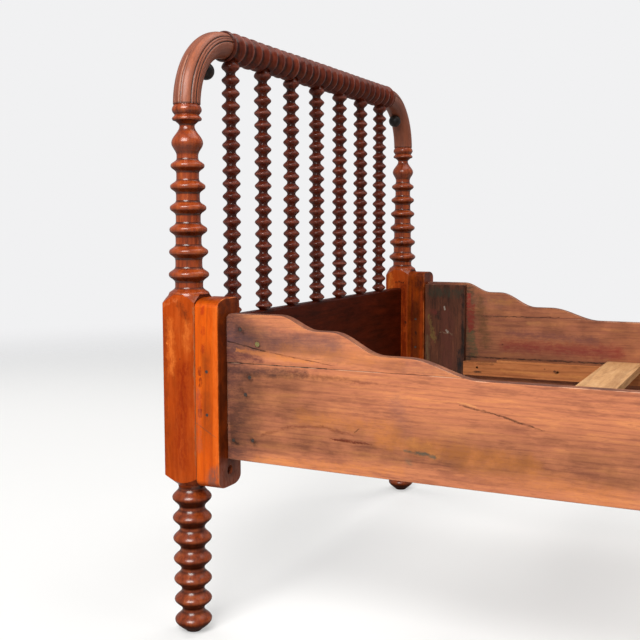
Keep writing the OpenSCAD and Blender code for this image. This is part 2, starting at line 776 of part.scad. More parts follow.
// The iron in a rail's end: a sunk plate with two hooks that drop over the pins in the block
module hook_iron() {
    pin_x = -rail_gap - hook_pin_depth;
    gap = hook_pin_r + RUN;
    far = pin_x - gap - hook_tip;
    arm_z = hook_z + hook_pin_r + FIT;
    union() {
        translate([0, hook_y - plate_w / 2, plate_z]) cube([plate_t, plate_w, plate_h]);
        for (i = [0, 1]) translate([0, hook_y - hook_t / 2, i * hook_spacing]) {
            translate([far, 0, arm_z]) cube([1 - far, hook_t, hook_z + hook_rise - arm_z]);
            translate([far, 0, hook_z - hook_drop]) cube([hook_tip, hook_t, hook_drop + hook_rise]);
            translate([pin_x + gap, 0, hook_z - hook_drop])
                cube([1 - pin_x - gap, hook_t, hook_drop + hook_rise]);
        }
    }
}

module rail_hook_irons(s) {
    color("gray") for (e = ENDS) at_rail(s, e) difference() {
        hook_iron();
        plate_screw_places() translate([0, 0, -1]) {
            cylinder(r = screw_r + FIT, h = plate_t + 2);
            cylinder(r = screw_head_r + FIT, h = head_t + FIT + 1);
        }
    }
}

module rail_nails(s) {
    color("dimgray") for (e = ENDS) at_rail(s, e) for (p = concat(NAILS, BRACKET_NAILS))
        rail_fixing(p, nail_r, nail_head_r, rail_t + batten_t);
    color("dimgray") at_rail(s) ledger_nail_places() union() {
        cylinder(r = nail_r, h = ledger_nail_l);
        cylinder(r = nail_head_r, h = head_t);
    }
}

module rail_screws(s) {
    color("darkgoldenrod") for (e = ENDS) at_rail(s, e) {
        rail_fixing(BRACKET_SCREW, screw_r, screw_head_r, rail_t + batten_t - 5);
        plate_screw_places() union() {
            cylinder(r = screw_r, h = plate_screw_l);
            cylinder(r = screw_head_r, h = head_t);
        }
    }
}

module slat(i) {
    x = -rail_length / 2 + batten_w + (i - 1) * notch_step + slat_play;
    color("#d2a063") translate([x, -slat_l / 2, slat_z + FIT]) cube([slat_w, slat_l, slat_t]);
}

// ---- What is drawn --------------------------------------------------------------------

for (e = ENDS) {
    for (s = SIDES) {
        at_end(e) on_side(e, s) post();
        at_end(e) on_side(e, s) rail_block();
        at_end(e) on_side(e, s) bend();
    }
    at_end(e) top_rod();
    at_end(e) panel();
    at_end(e) knobs();
    at_end(e) block_bolts();
    at_end(e) hook_pins();
    for (i = [1 : spindles])
        at_end(e) spindle_place(i) spindle();
}
for (s = SIDES) {
    rail_plank(s);
    rail_ledger(s);
    rail_hook_irons(s);
    rail_nails(s);
    rail_screws(s);
    for (e = ENDS) {
        rail_bracket(s, e);
        rail_batten(s, e);
    }
}
for (i = [2 : notches]) slat(i);
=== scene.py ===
"""Looks of a spool-turned bed: turned posts, bent corners, bead spindles, worn side rails.

Lengths are in millimetres where a class holds the maker's sizes, and MM turns them into the
metres of the frame. Colours are written as they look on a screen and turned linear by srgb().
"""

import json
import logging
import math
from dataclasses import dataclass
from enum import Enum
from typing import Any, Optional, Sequence

import bmesh
import bpy
import numpy as np
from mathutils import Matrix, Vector


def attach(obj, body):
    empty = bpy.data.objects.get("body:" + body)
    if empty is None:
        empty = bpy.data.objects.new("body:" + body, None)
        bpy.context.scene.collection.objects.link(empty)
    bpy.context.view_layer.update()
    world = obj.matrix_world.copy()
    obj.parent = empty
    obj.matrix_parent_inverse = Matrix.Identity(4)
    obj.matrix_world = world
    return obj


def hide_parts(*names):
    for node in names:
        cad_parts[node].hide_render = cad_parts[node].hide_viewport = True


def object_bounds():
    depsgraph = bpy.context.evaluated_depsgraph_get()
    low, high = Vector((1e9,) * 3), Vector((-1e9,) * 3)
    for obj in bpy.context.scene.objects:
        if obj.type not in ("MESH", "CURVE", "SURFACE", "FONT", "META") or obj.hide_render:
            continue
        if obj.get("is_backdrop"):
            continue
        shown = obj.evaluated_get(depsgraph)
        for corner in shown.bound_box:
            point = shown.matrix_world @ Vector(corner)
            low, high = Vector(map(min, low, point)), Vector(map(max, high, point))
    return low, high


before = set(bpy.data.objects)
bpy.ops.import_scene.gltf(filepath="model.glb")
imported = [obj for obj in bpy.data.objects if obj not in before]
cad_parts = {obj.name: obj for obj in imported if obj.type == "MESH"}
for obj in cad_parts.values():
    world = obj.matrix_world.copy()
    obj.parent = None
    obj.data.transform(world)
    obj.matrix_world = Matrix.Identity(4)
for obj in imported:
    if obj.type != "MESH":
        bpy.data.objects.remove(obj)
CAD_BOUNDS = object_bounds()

LOG = logging.getLogger("spool_bed")
MM = 0.001
# A flange has half its height left at this share of the way to its hollow, and falls by this power
FLANGE_HALF = 0.36
FLANGE_POWER = 2.8
# Share of the way from crest to hollow where the clear wood of a neck begins, without and with a
# flange, how fast it comes, and its relief
NECK_START = {False: 0.84, True: 0.66}
NECK_RISE = 8.0
NECK_RELIEF = 0.55
# Faces of a board that meet at more than this are a corner to ease, or a sharp edge afterwards
EASE_ANGLE = math.radians(40)
EASE_STEPS = 3
SHARP_BOARD = math.radians(35)
SHARP_POST = math.radians(32)
SHARP_BEND = math.radians(50)

Rgb = tuple[float, float, float]
Point2 = tuple[float, float]
Point3 = tuple[float, float, float]
Profile = list[Point3]
Socket = bpy.types.NodeSocket
Node = bpy.types.Node
NodeTree = bpy.types.NodeTree
Object = bpy.types.Object
Material = bpy.types.Material
FLOAT, VECTOR = "NodeSocketFloat", "NodeSocketVector"


def srgb(*seen: int) -> Rgb:
    """The linear light of a colour given as it is seen, red, green and blue from 0 to 255."""
    shares = [value / 255 for value in seen]
    return tuple(s / 12.92 if s <= 0.04045 else ((s + 0.055) / 1.055) ** 2.4 for s in shares)


class Named(Enum):
    """A choice that shows in the names of the nodes."""

    @property
    def key(self) -> str:
        """Its name in the names of the nodes."""
        return self.name.lower()


class End(Named):
    """The two ends of the bed, with the sign of their X."""

    HEAD = -1
    FOOT = 1


class Side(Named):
    """The two long sides as seen from the foot, with the sign of their Y."""

    LEFT = -1
    RIGHT = 1


class Grain(Enum):
    """The axis that a piece's grain follows, as the turn that lays that axis along X."""

    ALONG_X = (0.0, 0.0, 0.0)
    ALONG_Y = (0.0, 0.0, -math.pi / 2)
    ALONG_Z = (0.0, math.pi / 2, 0.0)


# ---- Meshes ----


@dataclass
class Shape:
    """A mesh in the making, in millimetres.

    Attributes:
        points: One row of x, y, z for each vertex.
        faces: Vertex numbers of each face, counter-clockwise from outside.
        relief: 0 in a turned hollow to 1 on a crest, for each vertex.
        course: Way along a bent piece and way round its section, for each vertex.
    """

    points: np.ndarray
    faces: list[tuple[int, ...]]
    relief: Optional[np.ndarray] = None
    course: Optional[np.ndarray] = None

    def moved(self, offset: Sequence[float], sign: Sequence[float] = (1, 1, 1)) -> "Shape":
        """Gives the shape mirrored by sign and then moved by offset.

        Args:
            offset: Distance along each axis.
            sign: 1 or -1 for each axis.

        Returns:
            A new shape whose faces still point outwards.
        """
        points = self.points * np.array(sign, float) + np.array(offset, float)
        turned = sign[0] * sign[1] * sign[2] < 0
        faces = [tuple(reversed(f)) for f in self.faces] if turned else list(self.faces)
        return Shape(points, faces, self.relief, self.course)

    def mesh(self, name: str) -> bpy.types.Mesh:
        """Makes the Blender mesh, in metres.

        Args:
            name: The mesh's name.

        Returns:
            The new mesh, smooth all over.
        """
        mesh = bpy.data.meshes.new(name)
        mesh.from_pydata((self.points * MM).tolist(), [], self.faces)
        mesh.polygons.foreach_set("use_smooth", [True] * len(mesh.polygons))
        if self.relief is not None:
            layer = mesh.attributes.new("relief", "FLOAT", "POINT")
            layer.data.foreach_set("value", self.relief.astype(np.float32))
        if self.course is not None:
            layer = mesh.attributes.new("course", "FLOAT_VECTOR", "POINT")
            layer.data.foreach_set("vector", (self.course * MM).ravel().astype(np.float32))
        mesh.update()
        return mesh


def joined(shapes: Sequence[Shape]) -> Shape:
    """Puts several shapes into one.

    Args:
        shapes: The shapes, which all have a relief or all have none.

    Returns:
        One shape with all their faces.
    """
    faces: list[tuple[int, ...]] = []
    start = 0
    for shape in shapes:
        faces += [tuple(i + start for i in f) for f in shape.faces]
        start += len(shape.points)
    relief = None
    if all(s.relief is not None for s in shapes):
        relief = np.concatenate([s.relief for s in shapes])
    return Shape(np.vstack([s.points for s in shapes]), faces, relief)


def wave(start: Point2, end: Point2, steps: int, sharp: float = 1.0, flange: bool = False) -> Profile:
    """Joins a crest and a hollow of a turning by half a wave, or by half a flange.

    Args:
        start: Radius and height of the first point.
        end: Radius and height of the last point, which is left out.
        steps: Number of points.
        sharp: 1 for a plain wave, more for a sharper crest.
        flange: True for a rounded flange beside a long neck.

    Returns:
        Rows of radius, height and relief.
    """
    low, high = min(start[0], end[0]), max(start[0], end[0])
    rows: Profile = []
    for i in range(steps):
        t = i / steps
        from_crest = t if start[0] > end[0] else 1 - t
        swell = ((1 + math.cos(math.pi * from_crest)) / 2) ** sharp
        if flange:
            swell = 2 ** -((from_crest / FLANGE_HALF) ** FLANGE_POWER)
        neck = min(1.0, max(0.0, (from_crest - NECK_START[flange]) * NECK_RISE)) * NECK_RELIEF
        rows.append((low + (high - low) * swell, start[1] + (end[1] - start[1]) * t, max(swell, neck)))
    return rows


def revolve(profile: Profile, around: int) -> Shape:
    """Turns a profile about Z and closes its two ends.

    Args:
        profile: Rows of radius, height and relief, from the bottom up.
        around: Number of points round the axis.

    Returns:
        The turned shape.
    """
    angles = np.arange(around) * (2 * math.pi / around)
    rings, relief = [], []
    for radius, height, swell in profile:
        rings.append(np.column_stack([radius * np.cos(angles), radius * np.sin(angles),
                                      np.full(around, height)]))
        relief.append(np.full(around, swell))
    faces: list[tuple[int, ...]] = []
    for row in range(len(profile) - 1):
        low, high = row * around, (row + 1) * around
        for i in range(around):
            j = (i + 1) % around
            faces.append((low + i, low + j, high + j, high + i))
    last = (len(profile) - 1) * around
    faces.append(tuple(reversed(range(around))))
    faces.append(tuple(range(last, last + around)))
    return Shape(np.vstack(rings), faces, np.concatenate(relief))


class Plane(Enum):
    """The plane that a board's outline lies in, as the axes of u, v and the thickness."""

    XY = (0, 1, 2)
    XZ = (0, 2, 1)
    YZ = (1, 2, 0)


def rounded(centre: Point2, radii: Point2, start_deg: float, steps: int = 8) -> list[Point2]:
    """Points of a quarter ellipse.

    Args:
        centre: The ellipse's centre.
        radii: Its two radii.
        start_deg: Angle of the first point; the last lies 90 degrees on.
        steps: Number of edges.

    Returns:
        The points, counter-clockwise.
    """
    angles = [math.radians(start_deg + 90 * i / steps) for i in range(steps + 1)]
    return [(centre[0] + radii[0] * math.cos(a), centre[1] + radii[1] * math.sin(a))
            for a in angles]


def prism(outline: Sequence[Point2], low: float, high: float, plane: Plane) -> Shape:
    """Makes a board from its outline.

    Args:
        outline: Points of the outline in its plane, counter-clockwise.
        low: Lower face along the thickness.
        high: Upper face along the thickness.
        plane: The outline's plane.

    Returns:
        The closed shape, its faces outwards.
    """
    u, v, w = plane.value
    count = len(outline)
    points = np.zeros((2 * count, 3))
    points[:, u] = [p[0] for p in outline] * 2
    points[:, v] = [p[1] for p in outline] * 2
    points[:, w] = [low] * count + [high] * count
    faces = [tuple(reversed(range(count))), tuple(range(count, 2 * count))]
    faces += [(i, (i + 1) % count, (i + 1) % count + count, i + count) for i in range(count)]
    if plane is Plane.XZ:
        faces = [tuple(reversed(f)) for f in faces]
    return Shape(points, faces)


def block(low: Sequence[float], high: Sequence[float]) -> Shape:
    """A box from its two corners."""
    corners = [(low[0], low[1]), (high[0], low[1]), (high[0], high[1]), (low[0], high[1])]
    return prism(corners, low[2], high[2], Plane.XY)


def bore(start: Sequence[float], axis: int, radius: float, length: float, around: int = 28) -> Shape:
    """A cylinder to cut with.

    Args:
        start: Centre of its first face.
        axis: The axis that it runs along, 0 to 2.
        radius: Its radius.
        length: Its length, negative to run the other way.
        around: Number of sides.

    Returns:
        The closed shape.
    """
    plane = {0: Plane.YZ, 1: Plane.XZ, 2: Plane.XY}[axis]
    u, v, _ = plane.value
    angles = [2 * math.pi * i / around for i in range(around)]
    outline = [(radius * math.cos(a) + start[u], radius * math.sin(a) + start[v]) for a in angles]
    low, high = sorted((start[axis], start[axis] + length))
    return prism(outline, low, high, plane)


@dataclass(frozen=True)
class Place:
    """Where a part drawn about one corner of the bed goes.

    Attributes:
        offset: The move, after the mirroring.
        sign: 1 or -1 for each axis.
    """

    offset: Point3 = (0, 0, 0)
    sign: tuple[int, int, int] = (1, 1, 1)

    def __call__(self, shape: Shape) -> Shape:
        """The shape in its place."""
        return shape.moved(self.offset, self.sign)


def linked(name: str, data: Any) -> Object:
    """Makes an object of a mesh, lamp or camera and links it into the scene.

    Args:
        name: The object's name.
        data: The mesh, lamp or camera.

    Returns:
        The object.
    """
    obj = bpy.data.objects.new(name, data)
    bpy.context.scene.collection.objects.link(obj)
    return obj


def placed(obj: Object) -> np.ndarray:
    """The places of a mesh's vertices, in metres.

    Args:
        obj: The mesh's object.

    Returns:
        One row for each vertex.
    """
    points = np.zeros(len(obj.data.vertices) * 3)
    obj.data.vertices.foreach_get("co", points)
    return points.reshape(-1, 3)


def settled(obj: Object) -> Object:
    """Turns an object's modifiers into plain geometry.

    Args:
        obj: The object, whose modifiers are all used up.

    Returns:
        The same object with its evaluated mesh and no modifiers.
    """
    bpy.context.view_layer.update()
    evaluated = obj.evaluated_get(bpy.context.evaluated_depsgraph_get())
    mesh = bpy.data.meshes.new_from_object(evaluated)
    name = obj.data.name
    obj.modifiers.clear()
    old, obj.data = obj.data, mesh
    bpy.data.meshes.remove(old)
    mesh.name = name
    return obj


def mark_edges(obj: Object, least_turn: float = 20.0) -> None:
    """Writes the relief of a board: 1 on its eased outer edges and a half elsewhere.

    Args:
        obj: The object with its edges eased.
        least_turn: Least angle between two faces at such an edge, in degrees.
    """
    mesh = bmesh.new()
    mesh.from_mesh(obj.data)
    least = math.radians(least_turn)
    values = [0.5 + 0.5 * any(e.is_manifold and e.calc_face_angle_signed(0) > least
                              for e in v.link_edges) for v in mesh.verts]
    mesh.free()
    layer = obj.data.attributes.new("relief", "FLOAT", "POINT")
    layer.data.foreach_set("value", values)


def carved(name: str, shape: Shape, ease: float, cutters: Sequence[Shape] = ()) -> Object:
    """Makes an object with eased edges and holes.

    Args:
        name: The object's name.
        shape: The closed shape.
        ease: Radius that hands and planes have given the edges.
        cutters: Closed shapes to cut away.

    Returns:
        The finished object, with its place in its mesh.
    """
    obj = linked(name, shape.mesh(name))
    eased = obj.modifiers.new("ease", "BEVEL")
    eased.width = ease * MM
    eased.segments = EASE_STEPS
    eased.limit_method = "ANGLE"
    eased.angle_limit = EASE_ANGLE
    settled(obj)
    mark_edges(obj)
    if cutters:
        tool = linked("tool", joined(list(cutters)).mesh("tool"))
        cut = obj.modifiers.new("cut", "BOOLEAN")
        cut.object = tool
        cut.solver = "EXACT"
        settled(obj)
        bpy.data.objects.remove(tool)
    obj.data.set_sharp_from_angle(angle=SHARP_BOARD)
    obj.modifiers.new("shade", "WEIGHTED_NORMAL").keep_sharp = True
    return settled(obj)


# ---- Node trees ----


class Tree:
    """A node tree built by short calls: geometry, shader group or material."""

    def __init__(self, tree: NodeTree) -> None:
        """Wraps a tree that exists."""
        self.tree = tree
        self.ends: dict[str, Node] = {}

    @classmethod
    def group(cls, name: str, kind: str, inputs: Sequence[tuple[str, str, Any]],
              outputs: Sequence[tuple[str, str]]) -> "Tree":
        """Makes a node group with named sockets.

        Args:
            name: The group's name.
            kind: GeometryNodeTree or ShaderNodeTree.
            inputs: Name, socket type and default of each input.
            outputs: Name and socket type of each output.

        Returns:
            The wrapped tree, with its two end nodes made.
        """
        made = cls(bpy.data.node_groups.new(name, kind))
        for label, socket, default in inputs:
            item = made.tree.interface.new_socket(label, in_out="INPUT", socket_type=socket)
            if default is not None:
                item.default_value = default
        for label, socket in outputs:
            made.tree.interface.new_socket(label, in_out="OUTPUT", socket_type=socket)
        made.ends["in"] = made.tree.nodes.new("NodeGroupInput")
        made.ends["out"] = made.tree.nodes.new("NodeGroupOutput")
        return made

    @classmethod
    def cleared(cls, owner: Any) -> "Tree":
        """The emptied node tree of a material or a world.

        Args:
            owner: The material or world.

        Returns:
            The wrapped tree.
        """
        owner.use_nodes = True
        owner.node_tree.nodes.clear()
        return cls(owner.node_tree)

    def given(self, name: str) -> Socket:
        """The group input of that name."""
        return self.ends["in"].outputs[name]

    def give(self, name: str, socket: Socket) -> None:
        """Links a socket to the group output of that name."""
        self.tree.links.new(socket, self.ends["out"].inputs[name])

    def add(self, kind: str, inputs: Optional[dict[Any, Any]] = None, **settings: Any) -> Node:
        """Adds a node.

        Args:
            kind: The node's type.
            inputs: Value or source socket for inputs, by name or number.
            **settings: The node's own properties.

        Returns:
            The node.
        """
        node = self.tree.nodes.new(kind)
        for key, value in settings.items():
            setattr(node, key, value)
        for key, value in (inputs or {}).items():
            socket = node.inputs[key]
            if isinstance(value, Socket):
                self.tree.links.new(value, socket)
            else:
                socket.default_value = value
        return node

    def math(self, operation: str, a: Any, b: Any = 0.0, clamp: bool = False) -> Socket:
        """A Math node's result."""
        node = self.add("ShaderNodeMath", {0: a, 1: b}, operation=operation, use_clamp=clamp)
        return node.outputs[0]

    def times(self, a: Any, b: Any, clamp: bool = False) -> Socket:
        """A product."""
        return self.math("MULTIPLY", a, b, clamp)

    def plus(self, a: Any, b: Any, clamp: bool = False) -> Socket:
        """A sum."""
        return self.math("ADD", a, b, clamp)

    def minus(self, a: Any, b: Any) -> Socket:
        """A difference."""
        return self.math("SUBTRACT", a, b)

    def attribute(self, name: str, out: str = "Fac") -> Socket:
        """An attribute of the piece."""
        return self.add("ShaderNodeAttribute", attribute_name=name).outputs[out]

    def vector(self, operation: str, a: Any, b: Any = (0, 0, 0), out: str = "Vector") -> Socket:
        """A Vector Math node's result; b is a scale where the operation is SCALE."""
        second = "Scale" if operation == "SCALE" else 1
        return self.add("ShaderNodeVectorMath", {0: a, second: b}, operation=operation).outputs[out]

    def ramp(self, value: Any, low: Any, high: Any, to_low: float = 0.0, to_high: float = 1.0) -> Socket:
        """A smooth rise of value from low to high, held level outside them."""
        return self.add("ShaderNodeMapRange", {
            "Value": value, "From Min": low, "From Max": high, "To Min": to_low, "To Max": to_high,
        }, interpolation_type="SMOOTHSTEP").outputs["Result"]

    def mix(self, factor: Any, a: Any, b: Any, blend: str = "MIX") -> Socket:
        """A mix of two colours.

        Args:
            factor: Share of b.
            a: Colour or socket.
            b: Colour or socket.
            blend: The kind of mix.

        Returns:
            The result's socket.
        """
        def colour(value: Any) -> Any:
            """A colour with its alpha."""
            return (*value, 1.0) if isinstance(value, tuple) and len(value) == 3 else value

        node = self.add("ShaderNodeMix", {}, data_type="RGBA", blend_type=blend, clamp_factor=True)
        for key, value in (("Factor_Float", factor), ("A_Color", colour(a)), ("B_Color", colour(b))):
            socket = next(s for s in node.inputs if s.identifier == key)
            if isinstance(value, Socket):
                self.tree.links.new(value, socket)
            else:
                socket.default_value = value
        return next(s for s in node.outputs if s.identifier == "Result_Color")

    def noise(self, vector: Any, scale: float, detail: float = 2.0, rough: float = 0.5,
              distortion: float = 0.0) -> Socket:
        """A Noise Texture's factor."""
        return self.add("ShaderNodeTexNoise", {
            "Vector": vector, "Scale": scale, "Detail": detail, "Roughness": rough,
            "Distortion": distortion,
        }).outputs["Fac"]

    def stretched(self, vector: Any, scale: Sequence[float], turn: Sequence[float] = (0, 0, 0)) -> Socket:
        """A vector turned and then scaled along each axis."""
        inputs = {"Vector": vector, "Scale": tuple(scale), "Rotation": tuple(turn)}
        return self.add("ShaderNodeMapping", inputs).outputs["Vector"]


def figure_group() -> NodeTree:
    """Makes the group that draws a board's figure along X: growth rings, fibres and pores.

    Returns:
        The shader group.
    """
    tree = Tree.group("Wood figure", "ShaderNodeTree",
                      [("Vector", VECTOR, None), ("Rings", FLOAT, 10.0), ("Stretch", FLOAT, 0.12)],
                      [("Figure", FLOAT), ("Fibre", FLOAT), ("Pores", FLOAT), ("Tone", FLOAT)])
    vector = tree.given("Vector")
    squeeze = tree.add("ShaderNodeCombineXYZ", {0: tree.given("Stretch"), 1: 1.0, 2: 1.0}).outputs[0]
    hills = tree.noise(tree.vector("MULTIPLY", vector, squeeze), 5.5, 3.0, 0.45, 0.3)
    across = tree.add("ShaderNodeSeparateXYZ", {0: vector}).outputs["Z"]
    slope = tree.plus(hills, tree.times(across, 6.0))
    saw = tree.math("FRACT", tree.times(slope, tree.given("Rings")))
    early = tree.ramp(saw, 0.0, 0.3)
    late = tree.ramp(saw, 0.86, 1.0, 1.0, 0.0)
    tree.give("Figure", tree.times(early, late))
    fibre = tree.noise(tree.stretched(vector, (0.05, 1, 1)), 260.0, 3.0, 0.65)
    tree.give("Fibre", tree.ramp(fibre, 0.3, 0.72))
    pores = tree.noise(tree.stretched(vector, (0.07, 1, 1)), 700.0, 2.0, 0.6)
    tree.give("Pores", tree.ramp(pores, 0.62, 0.75))
    tree.give("Tone", tree.noise(tree.stretched(vector, (0.17, 1, 1)), 56.0, 6.0, 0.72))
    return tree.tree


def age_group() -> NodeTree:
    """Makes the group that ages a surface: grime with painted shade in creases, rubbed crests and edges with
    a painted highlight, scuffs.

    Returns:
        The shader group. Patches is an even cloud, Speckle a fine one along the grain, and Wander a
        small random move of a place.
    """
    tree = Tree.group("Age", "ShaderNodeTree",
                      [("Vector", VECTOR, None), ("Relief", FLOAT, 0.5)],
                      [("Grime", FLOAT), ("Rubbed", FLOAT), ("Scuffs", FLOAT), ("Patches", FLOAT),
                       ("Speckle", FLOAT), ("Wander", VECTOR)])
    vector, relief = tree.given("Vector"), tree.given("Relief")
    patches = tree.noise(vector, 22.0, 4.0, 0.6)
    tree.give("Patches", patches)
    # Grime and painted shade in the turned hollows and the grooves
    low = tree.ramp(relief, 0.36, 0.02)
    tree.give("Grime", tree.times(low, tree.ramp(patches, 0.3, 0.65, 0.5, 1.0)))
    # Lighter crests and eased edges: wear with a painted highlight
    top = tree.ramp(relief, 0.86, 1.0)
    tree.give("Rubbed", tree.times(top, tree.ramp(patches, 0.4, 0.62)))
    scratches = tree.noise(tree.stretched(vector, (0.3, 1, 1), (0.2, 0.4, 0.9)), 150.0, 2.0, 0.8, 1.5)
    tree.give("Scuffs", tree.ramp(scratches, 0.66, 0.72))
    tree.give("Speckle", tree.noise(tree.stretched(vector, (0.3, 1, 1)), 170.0, 5.0, 0.78))
    cloud = tree.add("ShaderNodeTexNoise", {
        "Vector": vector, "Scale": 70.0, "Detail": 4.0, "Roughness": 0.7,
    })
    tree.give("Wander", tree.vector("SUBTRACT", cloud.outputs["Color"], (0.5, 0.5, 0.5)))
    return tree.tree


def stroke_group() -> NodeTree:
    """Makes the group that draws one stroke between two places.

    Returns:
        The shader group, whose mask is 1 in the stroke and 0 beyond it.
    """
    tree = Tree.group("Stroke", "ShaderNodeTree",
                      [("Vector", VECTOR, None), ("Wander", VECTOR, None), ("Start", VECTOR, None),
                       ("End", VECTOR, None), ("Half width", FLOAT, 0.003), ("Ragged", FLOAT, 0.0),
                       ("Soft", FLOAT, 0.5), ("Taper", FLOAT, 0.0), ("Speckle", FLOAT, 0.5),
                       ("Broken", FLOAT, 0.5)],
                      [("Mask", FLOAT)])
    given = tree.given
    moved = tree.vector("ADD", given("Vector"), tree.vector("SCALE", given("Wander"), given("Ragged")))
    away = tree.vector("SUBTRACT", moved, given("Start"))
    along = tree.vector("SUBTRACT", given("End"), given("Start"))
    share = tree.math("DIVIDE", tree.vector("DOT_PRODUCT", away, along, "Value"),
                      tree.vector("DOT_PRODUCT", along, along, "Value"), clamp=True)
    nearest = tree.vector("SCALE", along, share)
    gap = tree.vector("LENGTH", tree.vector("SUBTRACT", away, nearest), out="Value")
    off = tree.minus(tree.times(share, 2.0), 1.0)
    thin = tree.times(tree.times(off, off), given("Taper"))
    width = tree.times(given("Half width"), tree.minus(1.0, thin))
    full = tree.times(width, tree.minus(1.0, given("Soft")))
    holes = tree.times(tree.ramp(given("Speckle"), 0.56, 0.42), given("Broken"))
    tree.give("Mask", tree.times(tree.ramp(gap, width, full), tree.minus(1.0, holes)))
    return tree.tree


class Kit:
    """The shader groups, made once and shared by the finishes."""

    figure: NodeTree
    age: NodeTree
    stroke: NodeTree

    @classmethod
    def prepare(cls) -> None:
        """Makes the groups."""
        cls.figure = figure_group()
        cls.age = age_group()
        cls.stroke = stroke_group()


# ---- Finishes ----

# The wander of a ragged edge is a noise about zero, whose usual reach is a fourth of its range
WANDER_GAIN = 4


@dataclass(frozen=True)
class FaceTones:
    """How each side of a piece is darkened or cleared by the way it points: 1 is dark, 0 is plain and below
    0 is clearer. The darkening is partly stain and partly painted shade, on the bed side and under the
    turnings.

    Attributes:
        outer: The side away from the bed's middle line.
        inner: The side towards the bed's middle line.
        bed: The side towards the mattress along the bed.
        away: The side at the bed's end.
    """

    outer: float = 0.0
    inner: float = 0.0
    bed: float = 0.0
    away: float = 0.0
    top: float = 0.0
    bottom: float = 0.0

    def write(self, obj: Object, end: int, side: int, heights: Point2 = (0.0, 2000.0),
              below: float = 0.0, under: float = 0.0, over: float = 0.0) -> None:
        """Writes the darkening of each face, partly stain and partly painted shade and painted light.

        Args:
            obj: The piece.
            end: The sign of X at its end of the bed, 0 for a piece that runs from end to end.
            side: The sign of Y on its side of the bed.
            heights: Heights between which the sides differ.
            below: Stain all round below them.
            under: Painted shade on the undersides beyond those heights.
            over: Painted light on the upper sides there, below 0 to clear them.
        """
        mesh = obj.data
        normal = np.zeros(len(mesh.polygons) * 3)
        centre = np.zeros(len(mesh.polygons) * 3)
        mesh.polygons.foreach_get("normal", normal)
        mesh.polygons.foreach_get("center", centre)
        x, y, z = normal.reshape(-1, 3).T
        faced = np.column_stack([y * side, -y * side, -x * end, x * end, z, -z]).clip(0) ** 2
        values = faced @ np.array([self.outer, self.inner, self.bed, self.away, self.top, self.bottom])
        height = centre.reshape(-1, 3)[:, 2] / MM
        values *= (height > heights[0]) & (height < heights[1])
        values += below * (height < heights[0])
        turned = (height < heights[0]) | (height > heights[1])
        # Painted shade under the turnings and painted light on their upper sides
        values += turned * (under * (-z).clip(0) + over * z.clip(0))
        layer = mesh.attributes.new("shade", "FLOAT", "FACE")
        layer.data.foreach_set("value", values.astype(np.float32))


@dataclass(frozen=True)
class Mark:
    """A stain, a crack, a worn line or a patch of old paint, as a stroke on a piece.

    Attributes:
        half: Half its width.
        weight: Its strength, 0 to 1.
        ragged: How far its edge wanders, in millimetres.
        soft: Share of its width over which it fades.
        taper: Up to 0.9, for a stroke that grows thin towards its ends.
        shared: True where all corners of the bed have it, placed by distance from the middle.
        broken: How far the grain shows through it, 0 to 1.
    """

    start: Point3
    end: Point3
    half: float
    colour: Rgb
    weight: float = 0.8
    ragged: float = 0.0
    soft: float = 0.5
    taper: float = 0.0
    shared: bool = False
    broken: float = 0.6

    def over(self, tree: Tree, base: Socket, place: Socket, folded: Socket, age: Node) -> Socket:
        """Lays the stroke over a colour.

        Args:
            tree: The material's tree.
            base: The colour so far.
            place: The piece's coordinates.
            folded: The same without their signs.
            age: The age group's node.

        Returns:
            The new colour.
        """
        node = tree.add("ShaderNodeGroup", {
            "Vector": folded if self.shared else place, "Wander": age.outputs["Wander"],
            "Speckle": age.outputs["Speckle"], "Start": tuple(c * MM for c in self.start),
            "End": tuple(c * MM for c in self.end), "Half width": self.half * MM,
            "Ragged": self.ragged * WANDER_GAIN * MM, "Soft": self.soft, "Taper": self.taper,
            "Broken": self.broken,
        }, node_tree=Kit.stroke)
        return tree.mix(tree.times(node.outputs["Mask"], self.weight), base, self.colour)


@dataclass(frozen=True)
class Wall:
    """A plane of constant Y that strokes are drawn on.

    Attributes:
        y: Where the plane lies.
        x: Where the distances along it start.
        way: 1 or -1, the direction of those distances.
        shared: True where all corners of the bed have the strokes.
    """

    y: float
    x: float = 0.0
    way: int = 1
    shared: bool = False

    def __call__(self, s0: float, z0: float, s1: float, z1: float, *style: Any, **more: Any) -> Mark:
        """Draws a stroke.

        Args:
            s0: Distance along the wall at which it starts.
            z0: Height at which it starts.
            s1: Distance at which it ends.
            z1: Height at which it ends.
            *style: Half width, colour, weight, ragged, soft and taper of the mark, in this order.
            **more: Its other values by name.

        Returns:
            The mark.
        """
        start, end = ((self.x + self.way * s, self.y, z) for s, z in ((s0, z0), (s1, z1)))
        return Mark(start, end, *style, shared=self.shared, **more)


